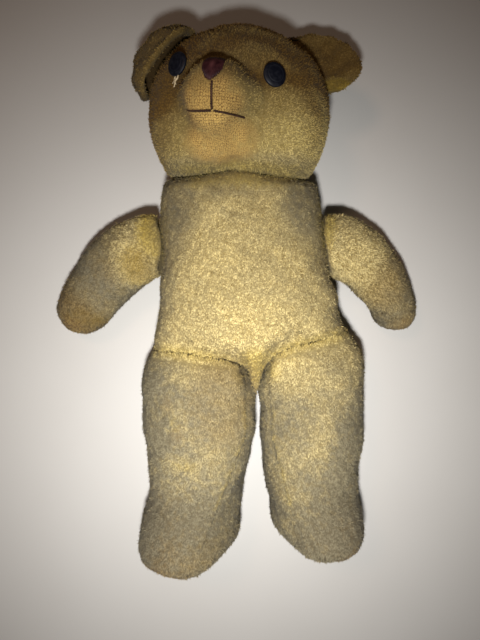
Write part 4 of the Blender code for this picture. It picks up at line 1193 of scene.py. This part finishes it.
def root_shade(points, which, reach):
    """Painted shade in the groove along an ear's root, widest and deepest towards the crown."""
    w = np.linspace(-1, 1, 41)
    root = ear_middle(EARS[which], w, 0 * w)
    away = np.linalg.norm(points[..., None, :] - root, axis=-1)
    near = away.argmin(-1)
    wide = reach * (0.45 + 0.55 * eased_step(-0.9, 0.6, w[near]))
    return 0.95 * (1 - eased_step(0.45, 1.0, away.min(-1) / wide))


EAR_ROWS, EAR_CLIMB, EAR_BEAD = 52, 18, 9
EAR_LUMPS, EAR_LUMP_PITCH, EAR_WRINKLE = 0.0006, 0.013, 0.0007


def ear_rows(ear, squash=0.0):
    """Front and back faces of an ear, joined round the rim and at the root, as rings: w from end
    to end, and round each ring up the front, over the rim and down the back. Also w, the height v
    on the ear and the side that it faces, 1 in front and -1 behind. Squash lowers the rim."""
    w = np.linspace(-0.90, 0.90, EAR_ROWS)[:, None]
    climb = np.linspace(0, 1, EAR_CLIMB)
    bead = np.linspace(0, math.pi, EAR_BEAD)[1:-1]
    v = np.concatenate([climb, 1 + 0 * bead, climb[::-1]])
    face = np.concatenate([1 + 0 * climb, np.cos(bead), -1 + 0 * climb])
    over = np.concatenate([0 * climb, np.sin(bead), 0 * climb])
    lift = face * EAR_THICK * (1 - 0.25 * np.abs(2 * v - 1) ** 3)
    reach = v[None, :] + 0 * w
    if squash:
        flat = squash + 0.12 * np.exp(-((w - 0.5) / 0.22) ** 2)
        flat = flat + 0.08 * np.exp(-((w + 0.8) / 0.2) ** 2)
        reach = reach * (1 - flat)
    rows = ear_point(ear, w, reach, lift[None, :] + 0 * w)
    rim = ear_middle(ear, w, np.array([[1.0]])) - ear_middle(ear, w, np.array([[0.95]]))
    return rows + unit(rim) * (over * EAR_THICK * 0.75)[None, :, None], w, v, face


def make_ear(which, skin_finish, pile_finish):
    """An ear's skin and pile. The right one stands open, with painted shade inside it and along a
    wrinkle over its rim and back. The left one lies flat with a lower rim, with painted shade at
    its root, and is a little darker all over."""
    ear = EARS[which]
    if which == "right":
        rows, w, v, face = ear_rows(ear)
        shade = 0.97 * (np.clip(face, 0, 1) * (1 - eased_step(0.30, 0.95, v)))[None, :]
        across = w + 0.36 + 0.05 * np.sin(v * 9)
        wrinkle = np.exp(-(across / 0.04) ** 2) * (face < 0.5) * eased_step(0.2, 0.45, v)
        wrinkle = wrinkle * (1 - eased_step(0.85, 0.98, v))
        rows = rows - grid_normals(rows) * (EAR_WRINKLE * wrinkle)[..., None]
        shade, browned = np.maximum(shade, 0.8 * wrinkle), 0.80
    else:
        rows, w, v, face = ear_rows(ear, 0.05)
        shade = 0.97 * (np.clip(face, 0, 1) * (1 - eased_step(0.04, 0.20, v)))[None, :]
        shade = np.maximum(shade * (0.35 + 0.65 * eased_step(-0.2, 0.7, w)), 0.26)
        browned = 0.95
    lumps = EAR_LUMPS * waves(rows, EAR_LUMP_PITCH, 55)
    rows = rows + grid_normals(rows) * lumps[..., None]
    skin = make_limb_skin("ear", which, rows, skin_finish, shade=shade, browned=browned)
    nap = unit(rows - ear_middle(ear, 0.0, 0.0)) + 0 * rows
    grow_pile("ear_" + which, skin, nap, pile_finish)


# ---- body and limbs --------------------------------------------------------------------------
BODY_COLUMNS, LEG_COLUMNS, ARM_COLUMNS = 224, 144, 96
HIP_CLOSE = FIT - 0.0001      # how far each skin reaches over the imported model's gap at the hips
FLANK_DRAWN = 0.0085          # how far the left flank and hip are moved in, at most
WEDGE_X, WEDGE_PUSH = -0.0008, [0, -0.0195, -0.0050]     # tuck of the body between the legs
HIP_NAP_RINGS = 9             # rings of a leg whose pile lies up over the hip crease
GATHER_PITCH = 0.0085         # from one gather of the hip crease to the next
BODY_LONG, LEG_LONG = 0.16, 0.13    # lengths from which distances to the hip crease are worked out

# Distances below the middle of the toy, then pushes at a limb's low and high edge in x, mm.
LEG_TRIM = {
    "right": ([0.044, 0.068, 0.082, 0.105, 0.116, 0.139, 0.163, 0.186, 0.197, 0.205],
              [-0.8, -3.6, -3.8, -3.6, -2.3, -1.8, -2.6, 2.4, 4.0, 3.6],
              [0.4, 2.4, 2.6, 4.0, 1.4, 0.7, -0.6, -2.0, -2.0, -2.4]),
    "left": ([0.034, 0.068, 0.082, 0.116, 0.139, 0.151, 0.163, 0.186, 0.197],
             [0.0, -1.4, -0.6, -1.5, -3.2, -4.0, -1.0, 2.2, 3.0],
             [0.0, 0.4, 0.6, -0.4, -1.5, -2.0, -0.4, -3.0, -2.4]),
}
ARM_TRIM = {"right": ([-0.070, -0.030, 0.0, 0.030], [0.0, -2.5, -3.6, -3.4], [0.0, 0.0, 0.0, 0.0]),
            "left": ([-0.060, -0.010, 0.020], [0.0, 1.6, 1.6], [0.0, 1.2, 1.2])}


def drawn_in(rows):
    """Points of the left flank and hip moved in towards the middle, most where the two meet."""
    below = -rows[..., 1]
    side = eased_step(0.035, 0.072, rows[..., 0]) * eased_step(0.003, 0.021, below)
    made = rows.copy()
    made[..., 0] -= FLANK_DRAWN * side * (1 - eased_step(0.022, 0.048, below))
    return made


def trimmed_flanks(rows, x, down):
    """Rows of the body with its two sides moved in or out by a few millimetres at places."""
    right, left = eased_step(0.045, 0.070, -x), eased_step(0.045, 0.070, x)
    rows[..., 0] -= 0.0028 * eased_step(0.82, 1.0, down) * right
    rows[..., 0] -= 0.0022 * np.exp(-((down - 0.68) / 0.10) ** 2) * right
    rows = drawn_in(rows)
    rows[..., 0] -= 0.0052 * np.exp(-((down - 0.83) / 0.08) ** 2) * left
    rows[..., 0] += 0.0022 * eased_step(0.94, 1.0, down) * left
    return rows


def gathered(relief, rows, normals, near_hip):
    """Relief with the gathers of a hip crease, the hollow along it and the folds beside it."""
    x = rows[..., 0]
    gathers = np.cos(x * 2 * math.pi / GATHER_PITCH + 2 * np.sin(x * 150))
    relief = relief + 0.0002 * gathers * np.exp(-(near_hip / 0.009) ** 2)
    return relief - 0.0004 * np.exp(-(near_hip / 0.0050) ** 2) - 0.0006 * fold_shade(rows, normals)


def make_body(skin_finish, pile_finish):
    """The body's skin and its two coats of pile, belly and back, which both run down."""
    t = steps_along((0, 0.04, 8), (0.04, 0.96, 84), (0.96, 1, 8))
    angle = turns(BODY_COLUMNS)
    inset = tucked(t, 0.020, 0.0018) + tucked(1 - t, 0.006, 0.0004)
    rows = torso_point(t[:, None], angle[None, :], inset[:, None])
    x, z, down = rows[..., 0], rows[..., 2], t[:, None]
    body, _, meet = hip_meeting(x)
    rows[..., 2] += (meet - body) * eased_step(0.88, 1.0, down) * on_front(angle)
    rows[..., 1] -= HIP_CLOSE * eased_step(0.97, 1.0, down)
    wedge = eased_step(0.0, 0.0062, 0.0056 - np.abs(x - WEDGE_X)) * eased_step(0.90, 1.0, down)
    rows = rows + (wedge * eased_step(0.02, 0.05, z))[..., None] * WEDGE_PUSH
    rows = trimmed_flanks(rows, x, down)
    rows[..., 1] -= jowl_drop(x) * (1 - eased_step(0.0, 0.14, down))
    normals = grid_normals(rows)
    relief = cut_seams(0, angle, BODY_SEAMS, BODY_SEAM_RADIUS)
    relief = relief + 0.0005 * waves(rows, 0.030, 61) + 0.00012 * waves(rows, 0.009, 62)
    relief = gathered(relief, rows, normals, (1 - t)[:, None] * BODY_LONG)
    rows = closed_in(closed_in(raised(rows, normals, relief)), False)
    stitches = limb_stitches(rows, LOOPS["body"])
    skin = make_skin("body_plush", rows, stitches, skin_finish, FILL["body"],
                     ("body_front_left", "body_front_right", "body_back", "stuffing_body"))
    keep = bare_ends(rows, both=True)
    front = keep * (skin["normals"][..., 2] > -0.15)
    nap = np.zeros(rows.shape) + np.array([0.0, -1.0, 0.0])
    grow_pile("belly", skin, nap, pile_finish, front)
    grow_pile("back", skin, nap, pile_finish, keep - front)


def make_leg(which, skin_finish, pile_finish):
    """A leg's skin, whose front meets the body's at the hip crease, with the worn ridge of its
    inner seam, and its pile."""
    leg = LEGS[which]
    t = steps_along((0, 0.05, 7), (0.05, 0.80, 52), (0.80, 0.992, 30))
    angle = turns(LEG_COLUMNS)
    inset = tucked(t, 0.006, 0.0004)
    rows = leg_point(leg, t[:, None], angle[None, :], inset[:, None])
    off = np.abs(rows[..., 0])
    _, top, meet = hip_meeting(off)
    lift = (np.clip(meet - top, -0.001, 0.011) * eased_step(0.006, 0.016, off)
            * (1 - eased_step(0.056, 0.070, off)))
    rows[..., 2] += lift * (1 - eased_step(0.0, 0.22, t))[:, None] * on_front(angle)
    rows[..., 1] += HIP_CLOSE * (1 - eased_step(0.0, 0.02, t))[:, None]
    rows = drawn_in(widened(rows, *LEG_TRIM[which]))
    normals = grid_normals(rows)
    relief = 0.0005 * waves(rows, 0.030, 61) + 0.00012 * waves(rows, 0.009, 62)
    relief = cut_seams(relief, angle, LEG_SEAMS, LEG_SEAM_RADIUS, LEG_SEAM_WIDE)
    relief = gathered(relief, rows, normals, t[:, None] * LEG_LONG)
    rows = closed_in(raised(rows, normals, relief))
    below = -rows[..., 1]
    off_ridge = (angle[None, :] - math.radians(LEG_RIDGE_AT)) * LEG_SEAM_RADIUS
    ridge = 0.75 * valley(off_ridge, 1.0, LEG_SEAM_WIDE)
    ridge = ridge * eased_step(0.075, 0.090, below) * (1 - eased_step(0.150, 0.170, below))
    skin = make_limb_skin("leg", which, rows, skin_finish, unfaded=ridge)
    nap = np.gradient(rows, axis=0)
    nap[:HIP_NAP_RINGS] *= -1
    grow_pile("leg_" + which, skin, nap, pile_finish, bare_ends(rows))


def widened(rows, at, low_push, high_push):
    """Rings moved sideways by their place along the toy: their low and high edges have pushes of
    their own, in millimetres, and points between share the two."""
    x = rows[..., 0]
    low, high = x.min(1, keepdims=True), x.max(1, keepdims=True)
    share = (x - low) / (high - low)
    along = rows[..., 1].mean(1, keepdims=True)
    push = np.interp(-along, at, low_push) * (1 - share) + np.interp(-along, at, high_push) * share
    made = rows.copy()
    made[..., 0] += 0.001 * push
    return made


def make_arm(which, skin_finish, pile_finish):
    """An arm's skin and its pile, which runs from the shoulder to the paw."""
    t = steps_along((0, 0.06, 7), (0.06, 0.84, 40), (0.84, 0.99, 22))
    angle = turns(ARM_COLUMNS)
    inset = tucked(t, 0.03, 0.0022)
    rows = arm_point(ARMS[which], t[:, None], angle[None, :], inset[:, None])
    rows = widened(rows, *ARM_TRIM[which])
    relief = 0.0004 * waves(rows, 0.028, 71) + 0.00012 * waves(rows, 0.009, 72)
    relief = cut_seams(relief, angle, ARM_SEAMS, ARM_SEAM_RADIUS)
    rows = closed_in(raised(rows, grid_normals(rows), relief))
    skin = make_limb_skin("arm", which, rows, skin_finish)
    grow_pile("arm_" + which, skin, np.gradient(rows, axis=0), pile_finish, bare_ends(rows))


# ---- eyes, nose and thread -------------------------------------------------------------------
def eye_frame(which):
    """Seat of an eye on the face, and the direction in which it looks."""
    place = np.add(EYES[which], EYE_SHIFT[which])
    return face_point(*place), unit(face_axes() @ np.array(EYE_LOOKS[which]))


def make_eye(which, finish):
    """Turned button: a low dome with one shallow ring in it, a rounded edge and a flat back. It is
    rubbed at the ring, and lighter at the edge: wear and a painted highlight on the rim."""
    seat, look = eye_frame(which)
    across = unit(np.cross([0.0, 1.0, 0.0], look))
    up = np.cross(look, across)
    share = np.sin(np.linspace(0.02, math.pi / 2, 34))
    dome = EYE_EDGE + EYE_DOME * np.sqrt(np.clip(1 - share ** 2, 0, 1)) * (0.85 + 0.15 * share)
    dome = dome - 0.00018 * np.exp(-((share - EYE_RING) / 0.035) ** 2)
    turn = np.linspace(0, math.pi / 2, 7)[1:]
    edge = np.stack([1 - 0.04 * (1 - np.cos(turn)), EYE_EDGE * (1 - np.sin(turn) * 0.98)], -1)
    back = np.stack([np.linspace(0.9, 0.05, 5), np.full(5, 0.0)], -1)
    profile = np.concatenate([np.stack([share, dome], -1), edge, back])
    angle = turns(72)
    radius = (EYE_RADIUS - 0.0002) * profile[:, :1]
    height = EYE_LIFT + 0.0009 + profile[:, 1:]
    rows = (seat + (radius * np.cos(angle))[..., None] * across
            + (radius * np.sin(angle))[..., None] * up + (height + 0 * angle)[..., None] * look)
    mesh = fill_mesh("button_eye_" + which, with_ends(rows), *closed_faces(*rows.shape[:2], True))
    out, rise = profile.T
    # Lighter at the edge and ring: rubbing, and at the edge also a painted highlight on the rim.
    rubbed = 0.25 * np.exp(-((out - 1.0) / 0.035) ** 2) * (rise > EYE_EDGE * 0.6)
    rubbed = rubbed + 0.25 * np.exp(-((out - EYE_RING) / 0.05) ** 2) * (rise > EYE_EDGE)
    set_value(mesh, "rubbed", np.concatenate([np.repeat(rubbed, len(angle)), [0, 0]]))
    add_piece(mesh.name, mesh, finish, "eye_button", "eye_" + which)


def path_frame(path, up):
    """Directions across a path, and square to both the path and those, at each of its points."""
    along = unit(np.gradient(path, axis=0))
    across = unit(np.cross(along, up))
    return across, np.cross(across, along)


def tube_rings(path, radius, up, sides=8, flat=1.0):
    """Rings of points carried along a path, each across it, with their height times flat."""
    across, rise = path_frame(path, up)
    angle = turns(sides)
    radius = np.broadcast_to(np.asarray(radius, float), (len(path),))[:, None]
    return (path[:, None] + (radius * np.cos(angle))[..., None] * across[:, None]
            + (radius * np.sin(angle) * flat)[..., None] * rise[:, None])


def tubes_mesh(name, tubes, values):
    """One mesh of closed tubes, each an array of rings, with a faded share for each: fading, and
    on the nose a painted highlight.
    """
    points, quads, fans, faded, total = [], [], [], [], 0
    for rings, value in zip(tubes, values):
        count, sides = rings.shape[:2]
        around, ends = closed_faces(count, sides, False)
        points.append(with_ends(rings))
        quads.append(around + total)
        fans.append(ends + total)
        value = np.broadcast_to(value, (count,))
        faded += [np.repeat(value, sides), value[[0, -1]]]
        total += len(points[-1])
    mesh = fill_mesh(name, np.concatenate(points), np.concatenate(quads), np.concatenate(fans))
    set_value(mesh, "faded", np.concatenate(faded))
    return mesh


def twisted(path, up, radius, pitch, plies=2, sides=6):
    """Plies wound round a path: each runs at its own angle, one turn for each pitch along it."""
    across, rise = path_frame(path, up)
    run = run_along(gaps(path))
    made = []
    for ply in range(plies):
        turn = run / pitch * 2 * math.pi + ply * 2 * math.pi / plies
        offset = (np.cos(turn)[:, None] * across + np.sin(turn)[:, None] * rise) * radius * 0.5
        end = np.sin(np.clip(np.minimum(run, run[-1] - run) / (2 * radius), 0, 1) * math.pi / 2)
        made.append(tube_rings(path + offset, radius * 0.55 * (0.45 + 0.55 * end), up, sides))
    return made


def make_nose(finish):
    """Upright satin stitches side by side over a pad: each runs from the flat top down to the
    outline's lower edge, over the pad's dome."""
    reach = HEAD_HALF[2] + MUZZLE_REACH
    tubes, faded = [], []
    rng = np.random.default_rng(5)
    for n, across in enumerate(np.linspace(-NOSE_SPREAD, NOSE_SPREAD, NOSE_STITCHES)):
        part = np.linspace(0, 1, 60)
        inside = np.abs(across) * NOSE_HALF < nose_outline(part) + 0.0003
        low = part[inside].min() + rng.uniform(-0.02, 0.02)
        high = part[inside].max() + rng.uniform(-0.03, 0.02)
        part = np.linspace(low, high, NOSE_STEPS)
        side = NOSE_SIDE + across * NOSE_HALF / reach + 0.0006 * np.sin(part * 5 + n)
        side = side + NOSE_LEAN * (0.5 - part)
        rise = NOSE_RISE + NOSE_HEIGHT * (0.5 - part) / reach
        wide = np.abs(across * NOSE_HALF) / np.maximum(nose_outline(part), 0.0006)
        dome = NOSE_THICK * (1 - 0.55 * np.minimum(wide, 1) ** 4) * (1 - 0.5 * (2 * part - 1) ** 4)
        end = np.sin(np.linspace(0, math.pi, NOSE_STEPS)) ** 0.35
        path = face_point(side, rise, FIT + dome * (0.35 + 0.65 * end) - 0.0004)
        thick = NOSE_THREAD * (0.5 + 0.5 * end)
        up = unit(path[NOSE_STEPS // 2] - HEAD_CENTRE)
        tubes.append(tube_rings(path, thick, up, flat=0.8))
        # Painted highlight: the stitches down the middle of the nose are given the lighter colour.
        shine = np.exp(-((across + 0.02) / 0.26) ** 2 - ((part - 0.42) / 0.20) ** 2)
        faded.append(np.clip(shine + rng.uniform(-0.12, 0.08), 0, 1))
    mesh = tubes_mesh("nose_satin", tubes, faded)
    add_piece(mesh.name, mesh, finish, "nose_thread", "nose")


def nose_outline(part):
    """Half width of the nose from its flat top, 0, to its lower point, 1."""
    return NOSE_HALF * eased(*NOSE_OUTLINE, np.clip(part, 0, 1))


def make_face_thread(name, finish):
    """Two-ply thread laid on the muzzle between two places, where it dips in at both ends."""
    start, end, sag, height = STITCHES[name]
    part = np.linspace(0, 1, THREAD_STEPS)
    side = start[0] + (end[0] - start[0]) * part
    rise = start[1] + (end[1] - start[1]) * part - sag * np.sin(math.pi * part)
    dip = 0.0011 * np.exp(-(np.minimum(part, 1 - part) / 0.06) ** 2)
    path = face_point(side, rise, height - dip)
    up = unit(path[THREAD_STEPS // 2] - HEAD_CENTRE)
    stem = name == "nose_stem_stitch"
    thick = FACE_THREADS[name] * (0.80 if stem else 0.92)
    plies = twisted(path, up, thick, PLY_PITCH)
    faded = 0.5 * np.exp(-((part - 0.45) / 0.25) ** 2) if stem else 0.12 + 0 * part
    mesh = tubes_mesh(name.replace("stitch", "thread"), plies, [faded] * len(plies))
    add_piece(mesh.name, mesh, finish, "mouth_thread", name)


def make_snag(finish):
    """Snagged cream thread below an eye: a small double loop with short loose ends under it."""
    rng = np.random.default_rng(17)
    turn = np.linspace(0, 1, 40)
    tubes, faded = [], []
    for n in range(SNAG_ENDS + SNAG_LOOPS):
        loose = n >= SNAG_LOOPS
        start = np.array(SNAG_AT) + rng.normal(0, 0.006, 2)
        swing = rng.uniform(-0.030, 0.030) if loose else 0.0
        curl = 2 * math.pi * (turn * 0.9 + 0.02 * n)
        if loose:
            side = start[0] + swing * turn + 0.012 * np.sin(turn * rng.uniform(3, 7) + n)
            rise = start[1] - turn * rng.uniform(0.060, 0.095)
        else:
            side = start[0] + 0.032 * np.sin(curl) + 0.005 * n
            rise = start[1] + 0.010 - 0.034 * np.cos(curl)
        path = face_point(side, rise, 0.0011 + 0.0005 * np.sin(turn * 5 + n))
        thick = rng.uniform(0.00020, 0.00032)
        tubes.append(tube_rings(path, thick, unit(path[3] - HEAD_CENTRE), 6))
        faded.append(rng.uniform(0.4, 1.0))
    mesh = tubes_mesh("snagged_thread", tubes, faded)
    add_piece(mesh.name, mesh, finish, "plush")


# ---- stage -----------------------------------------------------------------------------------
CAMERA_AT, CAMERA_LENS, CAMERA_SENSOR = (-0.012, -0.020, 0.410), 27, 36
LAMPS = {
    "lamp": dict(place=(-0.022, -0.095, 0.440), aim=(-0.022, -0.095, 0.0), size=0.030, power=0.93,
                 colour=(1.0, 0.975, 0.93), spread=math.radians(98)),
    "fill": dict(place=(-0.34, 0.30, 0.90), aim=(0.0, 0.0, 0.03), size=0.20, power=0.75,
                 colour=(1.0, 0.62, 0.40), spread=math.pi),
}
SKY_COLOUR, SKY_POWER = (1.0, 0.86, 0.72, 1), 0.025
FLOOR_HALF, FLOOR_CELLS, FLOOR_Z = 1.2, 24, -0.0002


def add_camera():
    """Looks straight down on the bear from above its belly."""
    lens = bpy.data.cameras.new("camera")
    lens.sensor_width = CAMERA_SENSOR
    lens.lens = CAMERA_LENS
    lens.clip_start = 0.01
    camera = new_object("camera", lens)
    camera.location = CAMERA_AT
    bpy.context.scene.camera = camera


def add_lamp(name, place, aim, size, power, colour, spread):
    """Round soft lamp at a place, aimed at a point."""
    light = bpy.data.lights.new(name, "AREA")
    light.shape = "DISK"
    light.size = size
    light.energy = power
    light.color = colour
    light.spread = spread
    lamp = new_object(name, light)
    lamp.location = place
    way = Vector(aim) - Vector(place)
    lamp.rotation_mode = "QUATERNION"
    lamp.rotation_quaternion = way.to_track_quat("-Z", "Y")


def add_stage(finish):
    """Pale floor, one soft lamp beside the camera, a weak warm fill and a weak sky."""
    side = np.linspace(-FLOOR_HALF, FLOOR_HALF, FLOOR_CELLS + 1)
    x, y = np.meshgrid(side, side, indexing="ij")
    points = np.stack([x, y, np.full_like(x, FLOOR_Z)], -1).reshape(-1, 3)
    first = np.arange(len(points)).reshape(x.shape)[:-1, :-1].ravel()
    after = first + FLOOR_CELLS + 1
    mesh = fill_mesh("floor", points, np.stack([first, after, after + 1, first + 1], -1))
    mesh.materials.append(finish)
    floor = new_object("floor", mesh)
    for name, settings in LAMPS.items():
        add_lamp(name, **settings)
    world = bpy.data.worlds.new("sky")
    world.use_nodes = True
    sky = world.node_tree.nodes["Background"]
    sky.inputs["Color"].default_value = SKY_COLOUR
    sky.inputs["Strength"].default_value = SKY_POWER
    bpy.context.scene.world = world
    bpy.context.scene.view_settings.view_transform = "Standard"


def main():
    """The stage, the finishes and every piece."""
    add_camera()
    plush_colour, knit = make_plush_colour(), make_knit()
    skin_finish = make_skin_finish(plush_colour, knit)
    pile_finish = make_pile_finish(plush_colour)
    make_head(skin_finish, pile_finish)
    make_body(skin_finish, pile_finish)
    for which in ("left", "right"):
        make_ear(which, skin_finish, pile_finish)
        make_arm(which, skin_finish, pile_finish)
        make_leg(which, skin_finish, pile_finish)
    button, steel = make_button_finish(), make_washer_finish()
    for which in EYES:
        make_eye(which, button)
        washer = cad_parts["eye_washer_" + which]
        washer.data.materials.clear()
        washer.data.materials.append(steel)
    make_nose(make_thread_finish("nose_thread_finish", MAROON, HIGHLIGHT_AND_WORN_MAROON, 0.35))
    mouth_finish = make_thread_finish("mouth_thread_finish", DARK_THREAD, FADED_THREAD, 0.55)
    for name in STITCHES:
        make_face_thread(name, mouth_finish)
    make_snag(make_thread_finish("cream_thread_finish", CREAM_DIRT, CREAM, 0.7))
    add_stage(make_floor_finish())


main()
